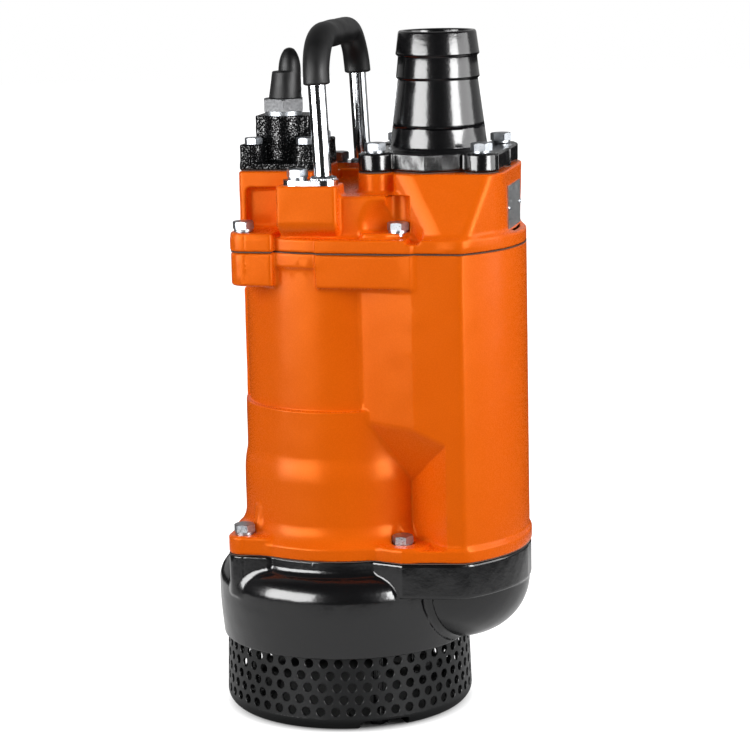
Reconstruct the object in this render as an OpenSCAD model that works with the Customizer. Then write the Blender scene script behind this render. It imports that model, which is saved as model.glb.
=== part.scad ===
// Slim submersible drainage pump with a side water passage and a top hose tail.
// Millimetres. The origin is on the shaft axis at the floor, +Z is up and +X points to the outlet.

/* [Strainer] */
// Outer radius of the basket at its top edge
strainer_r = 120; // [116:0.5:124]
// How much wider the basket is at its bottom corner
strainer_flare = 2; // [0:0.5:4]
// Height from the floor to the rim of the volute skirt
strainer_h = 73; // [70:1:90]
// Sheet thickness of the basket
strainer_wall = 2.5; // [1.5:0.5:4]
// Outer rounding of the basket's bottom corner
strainer_round = 14; // [8:1:16]
// How far the basket reaches up inside the skirt
strainer_nest = 7; // [4:1:9]
// Diameter of one strainer hole
hole_d = 8.6; // [6:0.1:10]
// Holes in one row
holes_per_row = 52; // [36:1:54]
// Rows of holes
hole_rows = 5; // [2:1:5]
// Height from one row of holes to the next
row_pitch = 11.9; // [11:0.1:12.2]
// Height of the lowest row
row_z = 20; // [18:0.5:21]
// Sideways shift from one row to the next, in hole pitches
row_lean = 0.55; // [0:0.05:1]
// Width of a stud recess in the basket's bottom
recess_w = 48; // [36:1:60]
// Height of a stud recess
recess_h = 10; // [9.5:0.5:12]
// Length of a stud recess, inwards from the rim
recess_len = 42; // [38:1:60]
// Number of studs that hold the basket
stud_count = 3; // [3:1:4]
// How far the studs stand inside the basket's top edge
stud_inset = 23; // [21:1:26]
// Direction of the first stud, from +X
stud_angle = -60; // [-75:1:-50]
// Diameter of a stud
stud_d = 10; // [8:1:10]

/* [Volute] */
// Height from the skirt's rim to the seam under the motor casing
volute_h = 91.6; // [90:0.1:100]
// Radius of the volute body
volute_r = 127; // [126.5:0.5:132]
// Shift of the volute body away from the outlet
volute_shift = 1.5; // [0:0.5:3]
// Wall of the skirt round the basket
skirt_wall = 3.5; // [2.5:0.5:4.5]
// Rounding of the volute's shoulder
shoulder_r = 24; // [18:1:26]
// Height of the neck above the shoulder
neck_h = 15; // [12:1:20]
// Radius of the elbow bowl under the outlet
bowl_r = 83; // [78:1:86]
// Rounding of the elbow bowl
bowl_round = 57; // [48:1:60]
// Height of the elbow's straight side above the bowl
bowl_side = 34; // [30:0.2:34.2]
// How far the pumping chamber's widest wall lies inside the basket's radius
chamber_inset = 14; // [13:1:18]
// How much the chamber widens from the cutwater to the outlet
chamber_growth = 20; // [16:1:22]
// Height of the pumping chamber
chamber_h = 38; // [34:1:40]
// Thickness of the wall over the chamber
roof_t = 12; // [10:1:13]

/* [Suction cover and impeller] */
// Thickness of the suction cover
suction_t = 8; // [6:0.5:9]
// Radius of the suction eye
eye_r = 38; // [34:0.5:42]
// Depth of the bell mouth below the cover
bell_h = 12; // [8:1:14]
// Gap between the impeller and the cutwater
impeller_gap = 8; // [6:0.5:14]
// Height of the impeller vanes
vane_h = 16; // [10:1:18]
// Number of impeller vanes
vane_count = 6; // [4:1:8]
// Gap under the vanes
vane_gap = 0.6; // [0.4:0.1:1]
// Radius of the shaft in the impeller
shaft_r_impeller = 12.5; // [11:0.5:13]

/* [Seal and bearings] */
// Radius of the shaft in the seal
shaft_r_seal = 16; // [15:0.5:16.5]
// Radius of the shaft in the lower bearing
shaft_r_lower = 17.5; // [17:0.25:18]
// Outer radius of the lower bearing
lower_bearing_r = 40; // [39:0.5:42]
// Height of the lower bearing
lower_bearing_h = 21; // [19:1:23]
// Ball radius of the lower bearing
lower_ball_r = 6.6; // [5.5:0.1:6.8]
// Radius of the shaft in the upper bearing
shaft_r_upper = 12.5; // [12:0.25:13]
// Outer radius of the upper bearing
upper_bearing_r = 31; // [30:0.5:33]
// Height of the upper bearing
upper_bearing_h = 17; // [15:1:18]
// Ball radius of the upper bearing
upper_ball_r = 5.3; // [4.5:0.1:5.6]
// Balls in each bearing
ball_count = 8; // [6:1:9]
// Height of the oil chamber
oil_chamber_h = 58; // [54:1:62]

/* [Motor] */
// Outer radius of the stator
stator_r = 82; // [78:0.5:83]
// Bore radius of the stator
stator_bore_r = 45; // [40:0.5:48]
// Air gap between rotor and stator
air_gap = 0.5; // [0.3:0.1:1]
// Length of the stator core
stator_len = 122; // [100:1:130]
// Height of the stator core's foot above the bearing housing
stator_lift = 62; // [56:1:66]
// Height of each end winding
winding_h = 25; // [20:1:28]

/* [Motor casing] */
// Height of the motor casing
casing_h = 294; // [288:1:310]
// Casing radius at the top
casing_r = 91.5; // [90:0.5:93]
// Casing radius in the middle
casing_r_mid = 95.2; // [94:0.2:96.5]
// Casing radius at the bottom
casing_r_low = 98.4; // [97:0.2:100]
// Height of the lower step above the casing's foot
low_step_h = 81; // [70:1:90]
// Height of the upper step above the casing's foot
mid_step_h = 142.6; // [136:0.2:150]
// Radius of the casing's foot flange
foot_r = 109; // [108:0.5:112]
// Rounding between the foot flange and the wall
foot_round = 26; // [18:1:32]
// Radius of the rounded end face
end_r = 124.5; // [122:0.5:126]
// Centre of the rounded end face, from the shaft axis
end_x = 58; // [56:0.5:60]
// Half width of the side passage body
side_y = 95; // [92:0.5:97]
// Where the body's flat front begins
front_x = 91; // [88:1:96]
// Wall round the water passage
passage_wall = 7; // [6:0.5:9]
// Inner end of the water passage, from the shaft axis
passage_x = 97; // [95:0.5:100]
// Depth of the bolting ears below the head seam
ear_depth = 33; // [28:1:38]

/* [Head cover] */
// Height of the head cover
cover_h = 72.4; // [68:0.2:78]
// Height of the cover's bolting band
band_h = 13; // [11:0.5:15]
// Height of the cover's bolting ears
ear_h = 18; // [16:0.5:20]
// Wall of the cover
cover_wall = 8; // [6:0.5:9]
// Flat left end of the cover, from the shaft axis
cover_left = 86; // [84:0.5:88]
// Half width of the cover's top deck
deck_y = 50; // [48:0.5:54]
// Half width of the wiring chamber under the deck
core_y = 36; // [32:0.5:38]
// Half width of the cover's lower chamber
chest_y = 84; // [80:0.5:88]
// How far the lower chamber's roof lies under the deck
chest_drop = 20; // [16:0.5:24]
// How far a handle boss lies under the deck
boss_drop = 9; // [7:0.5:12]
// Front face of a handle boss, from the shaft axis
boss_y = 97; // [96:0.5:98]

/* [Outlet] */
// Distance from the shaft axis to the outlet axis
outlet_x = 100.3; // [98:0.1:102]
// Bore radius of the hose tail
outlet_bore_r = 32; // [30:0.5:33]
// Outer radius of the tail's rim
tail_rim_r = 36.8; // [36:0.1:38]
// Outer radius of the tail's ridges
tail_ridge_r = 40; // [39:0.1:41]
// Outer radius of the tail's foot
tail_foot_r = 46.5; // [44:0.5:48]
// Height of the hose tail above its flange
tail_h = 112; // [104:1:120]
// Height of one barb
barb_h = 22; // [18:0.5:24]
// Thickness of the outlet flange
flange_t = 17; // [14:0.5:20]
// Half the spacing of the flange bolts
flange_bolt_s = 51; // [49:0.5:52]
// Radius of a flange lobe
lobe_r = 16; // [14.5:0.5:17]
// How far the flange's middle points stand out
flange_point = 70; // [68:0.5:71]

/* [Cable housing] */
// Height of the cable housing
housing_h = 50; // [46:1:56]
// Length of the housing's foot
housing_len = 74; // [72:0.5:76]
// Half width of the housing's foot
housing_y = 45; // [44:0.5:47]
// Height of the housing's corner lugs
lug_h = 24; // [20:0.5:28]
// Radius of a corner lug
lug_r = 11; // [10:0.5:12]
// Corner radius of the housing's foot
housing_corner = 4; // [2:0.5:6]
// Length of the housing's upper block
block_len = 54; // [50:0.5:56]
// Cable entry's distance from the shaft axis, along -X
gland_x = 49.5; // [48:0.5:51]
// Cable entry's distance from the shaft axis, along -Y
gland_y = 12; // [8:0.5:14]
// Radius of the round boss under the gland
gland_boss_r = 18; // [17:0.5:19]
// Width of the gland nut across its flats
gland_af = 37; // [34:0.5:40]
// Height of the gland nut
gland_nut_h = 12; // [10:0.5:14]
// Radius of the cable boot at its foot
boot_r = 16; // [14:0.5:17]
// Height of the boot's cone
boot_h = 26; // [22:1:30]
// Radius of the closed cable stub in the boot
stub_r = 10.8; // [9:0.2:11.4]
// Height of the stub above the boot's cone
stub_h = 23; // [18:1:28]

/* [Handle] */
// Diameter of the handle bar
bar_d = 17; // [14:0.5:18]
// Diameter of the rubber grip
grip_d = 25.5; // [23:0.5:28]
// Distance between the handle's legs
leg_span = 164; // [160:1:166]
// Centreline height of the handle above its feet
handle_rise = 138; // [130:1:146]
// Centreline radius of the handle's bends
bend_r = 40; // [34:1:48]
// Length of straight grip on each leg
grip_leg = 4; // [2:1:10]
// Lean of the handle away from the outlet, in degrees
handle_lean = 2.5; // [0:0.5:4]
// Where the legs stand, from the shaft axis along X
leg_x = 6; // [4:0.5:8]
// Distance from a leg to its foot bolt
foot_bolt_x = 25; // [24:0.5:27]
// Thickness of a handle foot
foot_t = 5; // [4:0.5:6]
// Width of a handle foot
foot_w = 28; // [26:0.5:29]

/* [Fasteners] */
// Half the spacing of the head cover's bolts
cover_bolt_s = 75.3; // [74:0.1:77]
// Distance of the lower left bolts from the shaft axis, along -X
casing_bolt_left = 82; // [80:0.5:83]
// Distance of the lower right bolts from the shaft axis, along +X
casing_bolt_right = 75; // [73:0.5:77]
// Distance of the lower bolts from the shaft axis, along Y
casing_bolt_y = 80; // [79:0.5:82]
// Diameter of the large bolts
bolt_d = 12; // [10:0.5:12]
// Diameter of the cable housing's bolts
small_bolt_d = 10; // [8:0.5:10]
// Thickness of a washer
washer_t = 2.5; // [1.5:0.25:3]
// Radius of a bolting ear
ear_r = 15; // [14:0.5:16]
// How far an upper left ear is set in from its bolt, towards the shaft axis
ear_inset = 2.5; // [0:0.5:3]
// Thickness of every gasket
gasket_t = 0.8; // [0.5:0.1:1.5]
// Length of the nameplate
plate_len = 64; // [56:1:68]
// Height of the nameplate
plate_h = 42; // [36:1:43]
// Thickness of the nameplate
plate_t = 1; // [0.6:0.1:1.5]

/* [Hidden] */

$fn = 72;
eps = 0.01;
far = 400;
fit = 0.05;          // clearance between turned parts that seat in each other
nest_gap = 0.4;      // clearance of the basket in the skirt
hole_gap = 0.4;      // clearance of a bolt in its through hole
thread_gap = 0.05;   // clearance of a bolt in its threaded hole
head_ratio = 1.5;    // width across flats of a bolt head over its diameter
head_h_ratio = 0.62; // height of a bolt head over its diameter
washer_ratio = 1.5;    // washer diameter over bolt diameter

black_cast = "#17181a";
orange_paint = "#ec6a17";
zinc = "#b9bcc0";
steel = "#8d9094";
rubber = "#1b1b1c";
gasket_grey = "#4c4c4a";
copper = "#b4643a";
brass = "#b08d4a";

// Levels, from the floor up
z_rim = strainer_h;
z_basket = z_rim + strainer_nest;
z_chamber = z_basket + suction_t;
z_roof = z_chamber + chamber_h;
z_recess = z_roof + roof_t;
z_volute = z_rim + volute_h;
z_neck = z_volute - neck_h;
z_casing = z_volute + gasket_t;
z_bearing = z_recess + oil_chamber_h;
bearing_disc_t = 12;
z_shoulder = z_bearing + bearing_disc_t;
z_casing_top = z_casing + casing_h;
z_cover = z_casing_top + gasket_t;
z_deck = z_cover + cover_h;
z_top = z_deck + gasket_t;
z_block = z_top + housing_h;
z_foot = z_deck - boss_drop;

// Bores of the motor casing
recess_r = stator_r + 4;
jacket_r = stator_r + fit;

// Wet end's radii
stud_ring_r = strainer_r - stud_inset;
lid_r = strainer_r - 4;
cover_screw_ring_r = lid_r - 5;
cover_screw_d = 6;
chamber_r = strainer_r - chamber_inset;
cutwater_r = chamber_r - chamber_growth;
impeller_r = cutwater_r - impeller_gap;
roof_hole_r = 60;

// Impeller and shaft levels
z_vane = z_chamber + vane_gap;
z_shroud = z_vane + vane_h;
shroud_t = 5;
hub_r = 20;
nut_h = 13;
nut_washer_t = 2;
z_hub = z_vane + 4;
z_hub_top = z_roof - 4;
z_nut_top = z_hub - nut_washer_t;
thread_r = 9;

// Seal levels
housing_floor_t = 10;
housing_lip_t = 4;
seat_t = housing_floor_t - housing_lip_t;
seat_r = 26;
ring_t = 9;
z_oil_floor = z_roof + housing_floor_t + 2;
hub_drop = 14;
z_hub_low = z_bearing - hub_drop;

// Bearing and rotor levels
z_lower_bearing = z_shoulder;
z_lower_top = z_lower_bearing + lower_bearing_h;
z_stator = z_shoulder + stator_lift;
z_stator_top = z_stator + stator_len;
z_bracket = z_casing_top - 12;
z_upper_bearing = z_bracket - 12;
z_upper_top = z_upper_bearing + upper_bearing_h;
race_gap = 0.3;
rotor_r = stator_bore_r - air_gap;
rotor_bore_r = 21;
shoulder_r2 = 22;
end_ring_h = 12;

// Outlines
front_start_x = 38;
front_start_y = sqrt(casing_r * casing_r - front_start_x * front_start_x);
valley_x = 80;
valley_y = 57.5;
flank_x = 121.5;
lug_y = side_y + 3;
lug_x0 = -1;
lug_x1 = 91;
bulge_y = casing_bolt_y + 25;
bulge_x = casing_bolt_right + 4;
bulge_end_x = 139.5;
bulge_end_y = side_y + 2;
foot_flange_h = 12;
step_chamfer = 3;
seam_band_r = 94;
funnel_top = 133.2;  // top of the funnel face above the casing's foot
funnel_turn = 74.5;  // direction that the funnel face's normal points, from +X
funnel_tilt = 60;    // tilt of the funnel face's normal from vertical
funnel_h = 60;       // height of the funnel under its top edge

cover_end_x = end_x + end_r - 10.5;
funnel_x = outlet_x - 31.3;
cover_top_y = flange_bolt_s + lobe_r + 6;
housing_x = gland_x - 0.5;
block_y0 = -(gland_y + 10);
block_y1 = 22;
housing_bolt_x = 25.5;
deck_end_x = -housing_x + housing_len / 2;
housing_bolt_y = 34;
gland_r = gland_boss_r;
gland_collar_h = 4;
cable_bore_r = 9;
plate_z = z_cover + band_h + 2 + plate_h / 2;
bolt_reach = bolt_d * 2;       // length of a large bolt in its thread
flange_reach = bolt_d * 1.5;   // length of a flange bolt in its thread
rivet_d = 3;

// ---------- Shared shapes ----------

// Bolt along -Z with its head on the plane z = 0
module bolt(d, len) {
    af = d * head_ratio;
    head = d * head_h_ratio;
    intersection() {
        cylinder(d = af / cos(30), h = head, $fn = 6);
        cylinder(r1 = af / 2 + head * 1.6, r2 = af / 2, h = head);
    }
    translate([0, 0, -len]) cylinder(d = d, h = len + eps);
}

module washer(d) {
    difference() {
        cylinder(d = d * washer_ratio, h = washer_t);
        translate([0, 0, -1]) cylinder(d = d + hole_gap * 2, h = washer_t + 2);
    }
}

module ring(r_out, r_in, h) {
    difference() {
        cylinder(r = r_out, h = h);
        translate([0, 0, -1]) cylinder(r = r_in, h = h + 2);
    }
}

// Copies children to +Y and to -Y as mirror images
module both_sides() {
    children();
    mirror([0, 1, 0]) children();
}

// Copies children to the four corners of a rectangle
module at_corners(x0, x1, y) {
    for (x = [x0, x1], side = [-1, 1]) translate([x, side * y, 0]) children();
}

module at_casing_bolts() {
    at_corners(-casing_bolt_left, casing_bolt_right, casing_bolt_y) children();
}

module at_cover_bolts() {
    at_corners(-cover_bolt_s, cover_bolt_s, cover_bolt_s) children();
}

module at_flange_bolts() {
    at_corners(outlet_x - flange_bolt_s, outlet_x + flange_bolt_s, flange_bolt_s) children();
}

module at_housing_bolts() {
    at_corners(-housing_x - housing_bolt_x, -housing_x + housing_bolt_x, housing_bolt_y) children();
}

module at_studs() {
    for (i = [0 : stud_count - 1]) rotate(stud_angle + i * 360 / stud_count)
        translate([stud_ring_r, 0, 0]) children();
}

// Turned body: its profile lies in the plane of the radius and the height
module turned() {
    rotate_extrude() children();
}

// ---------- Plan outlines ----------

// Rounded end of the side body, cut back by an inset
module end_circle(inset = 0, grow = 0) {
    translate([end_x, 0]) circle(r = end_r - inset + grow, $fn = 180);
}

// Side body beside the motor above the funnel
module upper_side_plan() {
    intersection() {
        end_circle();
        polygon([[front_start_x, -front_start_y], [front_x, -side_y], [far, -side_y],
            [far, side_y], [front_x, side_y], [front_start_x, front_start_y]]);
    }
}

// Side body below the funnel, drawn back to a valley beside the motor
module lower_side_plan() {
    intersection() {
        end_circle();
        polygon([[valley_x, -valley_y], [flank_x, -side_y], [far, -side_y],
            [far, side_y], [flank_x, side_y], [valley_x, valley_y]]);
    }
}

// Water passage, the same from the volute to the head cover
module passage_plan() {
    inner_y = side_y - passage_wall;
    intersection() {
        end_circle(passage_wall);
        polygon([[passage_x, -valley_y + 3.5], [flank_x + 12.5, -inner_y], [far, -inner_y],
            [far, inner_y], [flank_x + 12.5, inner_y], [passage_x, valley_y - 3.5]]);
    }
}

// Seam between the head cover and the motor casing
module head_seam_plan() {
    circle(r = seam_band_r);
    upper_side_plan();
    lug_plan();
    both_sides() left_ear_plan();
}

// Long bolting lugs over both flanks, bevelled towards the outlet
module lug_plan() {
    corner_x = lug_x1 + 4;
    corner_y = side_y - 1;
    polygon([[lug_x0, -lug_y], [lug_x1, -lug_y], [corner_x, -corner_y], [corner_x, corner_y],
        [lug_x1, lug_y], [lug_x0, lug_y]]);
}

module left_ear_plan() {
    ear_x = -cover_bolt_s + ear_inset;
    translate([ear_x, cover_bolt_s]) circle(r = ear_r);
    translate([ear_x, 30]) square([30 - ear_inset, cover_bolt_s + ear_r - 30]);
    translate([ear_x - ear_r, 40]) square([ear_r, cover_bolt_s - 40]);
}

// Seam between the motor casing and the volute
module foot_seam_plan() {
    circle(r = foot_r);
    intersection() {
        end_circle(grow = 1.5);
        polygon([[45, -95], [bulge_x, -bulge_y], [bulge_end_x, -bulge_end_y], [far, -bulge_end_y],
            [far, bulge_end_y], [bulge_end_x, bulge_end_y], [bulge_x, bulge_y], [45, 95]]);
    }
    both_sides() foot_ear_plan();
}

module foot_ear_plan() {
    translate([-casing_bolt_left, casing_bolt_y]) circle(r = ear_r + 0.5);
    translate([-casing_bolt_left, 40]) square([26, casing_bolt_y - 40 + ear_r - 2]);
    translate([-casing_bolt_left - ear_r - 0.5, 50]) square([ear_r, casing_bolt_y - 50]);
}

module flange_plan() {
    inner = flange_bolt_s - lobe_r - 1;
    translate([outlet_x, 0]) {
        polygon([[0, -flange_point], [inner, -flange_bolt_s], [flange_bolt_s, -inner], [flange_point, 0],
            [flange_bolt_s, inner], [inner, flange_bolt_s], [0, flange_point], [-inner, flange_bolt_s],
            [-flange_bolt_s, inner], [-flange_point, 0], [-flange_bolt_s, -inner],
            [-inner, -flange_bolt_s]]);
        for (x = [-1, 1], y = [-1, 1]) translate([x * flange_bolt_s, y * flange_bolt_s]) circle(r = lobe_r);
    }
}

module housing_plan() {
    half = housing_len / 2;
    r = housing_corner;
    translate([-housing_x, 0]) {
        square([housing_len, (housing_y - r) * 2], center = true);
        square([(half - r) * 2, housing_y * 2], center = true);
        for (x = [-1, 1], y = [-1, 1]) translate([x * (half - r), y * (housing_y - r)]) circle(r = r);
    }
}

// Corner lugs of the cable housing, square outside and round inside
module housing_lug_plan() {
    half = housing_len / 2;
    at_corners(-housing_x - housing_bolt_x, -housing_x + housing_bolt_x, housing_bolt_y) circle(r = lug_r);
    intersection() {
        housing_plan();
        for (x = [-1, 1], y = [-1, 1]) translate([-housing_x + x * half, y * housing_y])
            square([(half - housing_bolt_x) * 2, (housing_y - housing_bolt_y) * 2], center = true);
    }
}

// ---------- Wet end ----------

module basket_profile(r_top, r_low, h, f) {
    square([r_low - f, h]);
    polygon([[0, f], [r_low, f], [r_top, h], [0, h]]);
    translate([r_low - f, f]) circle(r = f);
}

module basket_solid(inset) {
    r_top = strainer_r - inset;
    turned() intersection() {
        basket_profile(r_top, r_top + strainer_flare, z_basket, strainer_round - inset);
        translate([0, inset]) square([far, z_basket + 1]);
    }
}

module recess_box(wall) {
    reach = strainer_r + strainer_flare - recess_len;
    translate([reach - wall, -recess_w / 2 - wall, 0]) cube([far, recess_w + wall * 2, recess_h + wall]);
}

module strainer() color(black_cast) {
    pitch = 360 / holes_per_row;
    difference() {
        union() {
            difference() {
                basket_solid(0);
                basket_solid(strainer_wall);
            }
            intersection() {
                basket_solid(0);
                for (i = [0 : stud_count - 1]) rotate(stud_angle + i * 360 / stud_count)
                    recess_box(strainer_wall);
            }
        }
        for (i = [0 : stud_count - 1]) rotate(stud_angle + i * 360 / stud_count)
            translate([0, 0, -1]) recess_hollow();
        at_studs() cylinder(d = stud_d + hole_gap * 2, h = far);
        for (row = [0 : hole_rows - 1], i = [0 : holes_per_row - 1])
            rotate((i + row * row_lean) * pitch) translate([strainer_r - 10, 0, row_z + row * row_pitch])
                rotate([0, 90, 0]) cylinder(d = hole_d, h = 20, $fn = 24);
    }
}

// The hollow of a recess, open to the floor and to the rim
module recess_hollow() {
    reach = strainer_r + strainer_flare - recess_len;
    translate([reach, -recess_w / 2, 0]) cube([far, recess_w, recess_h + 1]);
}

module strainer_studs() color(zinc) {
    at_studs() translate([0, 0, 1]) cylinder(d = stud_d, h = z_chamber - 2 - 1);
}

module strainer_nuts() color(zinc) {
    nut = stud_d * 0.65;
    at_studs() translate([0, 0, recess_h - washer_t]) washer(stud_d);
    at_studs() translate([0, 0, recess_h - washer_t - nut]) difference() {
        cylinder(d = stud_d * 1.6 / cos(30), h = nut, $fn = 6);
        translate([0, 0, -1]) cylinder(d = stud_d + thread_gap * 2, h = nut + 2);
    }
}

module at_cover_screws() {
    for (a = [45 : 90 : 315]) rotate(a) translate([cover_screw_ring_r, 0, 0]) children();
}

module suction_cover() color(black_cast) {
    difference() {
        union() {
            turned() {
                polygon([[eye_r, z_basket - 1], [eye_r + 14, z_basket], [lid_r, z_basket],
                    [lid_r, z_chamber], [eye_r, z_chamber]]);
                translate([eye_r, z_basket - bell_h + 3]) square([6, bell_h]);
                translate([eye_r + 3, z_basket - bell_h + 3]) circle(r = 3);
            }
            at_studs() translate([0, 0, z_basket - 8]) cylinder(r = stud_d, h = 8 + eps);
        }
        at_studs() translate([0, 0, z_basket - 9])
            cylinder(d = stud_d + thread_gap * 2, h = 9 + suction_t - 2);
        at_cover_screws() translate([0, 0, z_basket - 1])
            cylinder(d = cover_screw_d + hole_gap * 2, h = far);
    }
}

module suction_cover_screws() color(zinc) {
    at_cover_screws() translate([0, 0, z_basket]) mirror([0, 0, 1]) screw(cover_screw_d, suction_t + 10);
}

// Cap screw along -Z with its round head on the plane z = 0
module screw(d, len) {
    cylinder(d = d * 1.5, h = d * 0.7);
    translate([0, 0, -len]) cylinder(d = d, h = len + eps);
}

// Chamber wall that winds outwards from the cutwater to the outlet
module chamber_plan() {
    steps = 60;
    points = [for (i = [0 : steps - 1]) let (a = 20 + i * 360 / steps,
        r = cutwater_r + chamber_growth * i / steps)
        [r * cos(a), r * sin(a)]];
    polygon(points);
}

module volute_profile() {
    shoulder_z = z_neck - shoulder_r + 2;
    skirt_r = strainer_r + nest_gap + skirt_wall;
    polygon([[0, z_rim], [skirt_r - 1, z_rim], [skirt_r, z_rim + 1], [volute_r, z_rim + 30],
        [volute_r, shoulder_z], [0, shoulder_z]]);
    translate([volute_r - shoulder_r, shoulder_z]) circle(r = shoulder_r);
    square_top = shoulder_z + shoulder_r;
    translate([0, z_rim]) square([volute_r - shoulder_r, square_top - z_rim]);
}

module elbow_bowl(inset) {
    z_side = z_volute - bowl_side;
    r = bowl_r - inset;
    f = bowl_round - inset;
    translate([outlet_x, 0, 0]) turned() intersection() {
        union() {
            translate([r - f, z_side]) circle(r = f);
            translate([0, z_side - f]) square([r - f, f * 2]);
            translate([0, z_side]) square([r, bowl_side]);
        }
        square([far, z_volute]);
    }
}

module volute_casing() color(black_cast) {
    difference() {
        union() {
            translate([-volute_shift, 0, 0]) turned() volute_profile();
            translate([0, 0, z_neck - 12]) linear_extrude(z_volute - z_neck + 12) circle(r = foot_r - 2);
            translate([0, 0, z_volute - 5]) linear_extrude(5) foot_seam_plan();
            translate([0, 0, z_volute - ear_depth - 7]) linear_extrude(ear_depth + 7)
                both_sides() foot_ear_plan();
            translate([0, 0, z_volute - bowl_side]) linear_extrude(bowl_side) intersection() {
                foot_seam_plan();
                translate([52, -far / 2]) square(far);
            }
            intersection() {
                elbow_bowl(0);
                translate([0, -far / 2, z_rim]) cube(far);
            }
        }
        translate([0, 0, z_rim - 1]) cylinder(r = strainer_r + nest_gap, h = strainer_nest + 1);
        cylinder(r = lid_r + fit, h = z_chamber);
        translate([0, 0, z_chamber - 1]) linear_extrude(chamber_h + 1) chamber_plan();
        translate([0, 0, z_chamber]) cylinder(r = roof_hole_r, h = far);
        // Throat from the chamber's widest part to the water passage
        translate([cutwater_r, -30, z_chamber + 4]) cube([passage_x + 1 - cutwater_r, 30, chamber_h - 8]);
        translate([0, 0, z_recess]) cylinder(r = recess_r, h = far);
        intersection() {
            elbow_bowl(passage_wall);
            translate([0, 0, z_chamber + 4]) linear_extrude(far) passage_plan();
        }
        at_casing_bolts() translate([0, 0, z_volute - bolt_reach - 8])
            cylinder(d = bolt_d + thread_gap * 2, h = far);
        at_cover_screws() translate([0, 0, z_chamber - 1])
            cylinder(d = cover_screw_d + thread_gap * 2, h = 12.5);
        at_oil_screws() translate([0, 0, z_roof + 1])
            cylinder(d = oil_screw_d + thread_gap * 2, h = roof_t);
    }
}

module impeller() color(steel) {
    difference() {
        union() {
            translate([0, 0, z_shroud]) cylinder(r = impeller_r, h = shroud_t);
            translate([0, 0, z_hub]) cylinder(r = hub_r, h = z_hub_top - z_hub);
            translate([0, 0, z_vane]) linear_extrude(vane_h + eps) vane_plan();
        }
        cylinder(r = shaft_r_impeller + fit, h = far);
        keyway();
    }
}

module vane_plan() {
    sweep_r = impeller_r * 0.72;
    vane_t = 5;
    intersection() {
        difference() {
            circle(r = impeller_r);
            circle(r = hub_r + 8);
        }
        union() for (i = [0 : vane_count - 1]) rotate(i * 360 / vane_count) intersection() {
            translate([sweep_r * 0.78, 0]) difference() {
                circle(r = sweep_r);
                circle(r = sweep_r - vane_t);
            }
            translate([0, 0]) square(far);
        }
    }
}

key_w = 6;

module key_box(grow) {
    half = key_w / 2 + grow;
    translate([shaft_r_impeller - 3 - grow, -half, z_hub + 4 - grow])
        cube([6 + grow * 2, half * 2, 18 + grow * 2]);
}

// Slot through the hub for the key, open at the hub's foot
module keyway() {
    half = key_w / 2 + fit;
    translate([0, -half, z_hub - 1]) cube([shaft_r_impeller + 3 + fit, half * 2, 23 + fit]);
}

module impeller_key() color(steel) key_box(0);

module impeller_washer() color(zinc) {
    translate([0, 0, z_nut_top]) ring(16, thread_r + hole_gap, nut_washer_t);
}

module impeller_nut() color(brass) {
    translate([0, 0, z_nut_top - nut_h]) difference() {
        cylinder(d = 30, h = nut_h, $fn = 6);
        translate([0, 0, 3]) cylinder(r = thread_r + thread_gap, h = nut_h);
    }
}

// ---------- Shaft, seal and bearings ----------

module shaft() color(steel) {
    z_end = z_nut_top - nut_h + 4;
    z_seal = z_hub_top;
    z_top_end = z_upper_top + 1;
    difference() {
        turned() polygon([[0, z_end], [thread_r, z_end], [thread_r, z_hub], [shaft_r_impeller, z_hub],
            [shaft_r_impeller, z_seal], [shaft_r_seal, z_seal], [shaft_r_seal, z_shoulder],
            [shaft_r_lower, z_shoulder], [shaft_r_lower, z_lower_top], [shoulder_r2, z_lower_top],
            [shoulder_r2, z_stator - end_ring_h], [rotor_bore_r, z_stator - end_ring_h],
            [rotor_bore_r, z_stator_top + end_ring_h], [shaft_r_upper + 4, z_stator_top + end_ring_h],
            [shaft_r_upper + 4, z_upper_bearing], [shaft_r_upper, z_upper_bearing],
            [shaft_r_upper, z_top_end], [0, z_top_end]]);
        key_box(fit);
    }
}

oil_screw_d = 8;
oil_screw_ring_r = 78;
oil_flange_t = 8;

module at_oil_screws() {
    for (a = [45 : 90 : 315]) rotate(a) translate([oil_screw_ring_r, 0, 0]) children();
}

module oil_housing() color(gasket_grey) {
    wall_r = 68;
    hub_fit_r = roof_hole_r - fit * 2;
    difference() {
        turned() difference() {
            polygon([[shaft_r_seal + 3, z_roof], [hub_fit_r, z_roof], [hub_fit_r, z_recess],
                [recess_r - fit, z_recess], [recess_r - fit, z_recess + oil_flange_t], [wall_r + 4, z_recess + oil_flange_t],
                [wall_r + 4, z_bearing], [wall_r - 3, z_bearing], [wall_r - 3, z_recess],
                [54, z_oil_floor], [shaft_r_seal + 3, z_oil_floor]]);
            translate([0, z_roof + housing_lip_t]) square([seat_r + fit, housing_floor_t]);
        }
        at_oil_screws() translate([0, 0, z_roof]) cylinder(d = oil_screw_d + hole_gap, h = far);
    }
}

module oil_housing_screws() color(zinc) {
    at_oil_screws() translate([0, 0, z_recess + oil_flange_t])
        screw(oil_screw_d, oil_flange_t + roof_t - 2);
}

module seal_seat_lower() color("#e9e6dd") {
    z_seat = z_roof + housing_lip_t;
    translate([0, 0, z_seat]) ring(seat_r, shaft_r_seal + 1.5, z_oil_floor - z_seat);
}

module seal_ring_lower() color("#2a2a2c") {
    translate([0, 0, z_oil_floor]) ring(seat_r - 2, shaft_r_seal + fit, ring_t);
}

module seal_bellows() color(rubber) {
    z0 = z_oil_floor + ring_t;
    z1 = z_hub_low - ring_t;
    translate([0, 0, z0]) ring(seat_r - 3, shaft_r_seal + fit, z1 - z0);
}

module seal_ring_upper() color("#2a2a2c") {
    translate([0, 0, z_hub_low - ring_t]) ring(seat_r - 2, shaft_r_seal + fit, ring_t);
}

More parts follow.
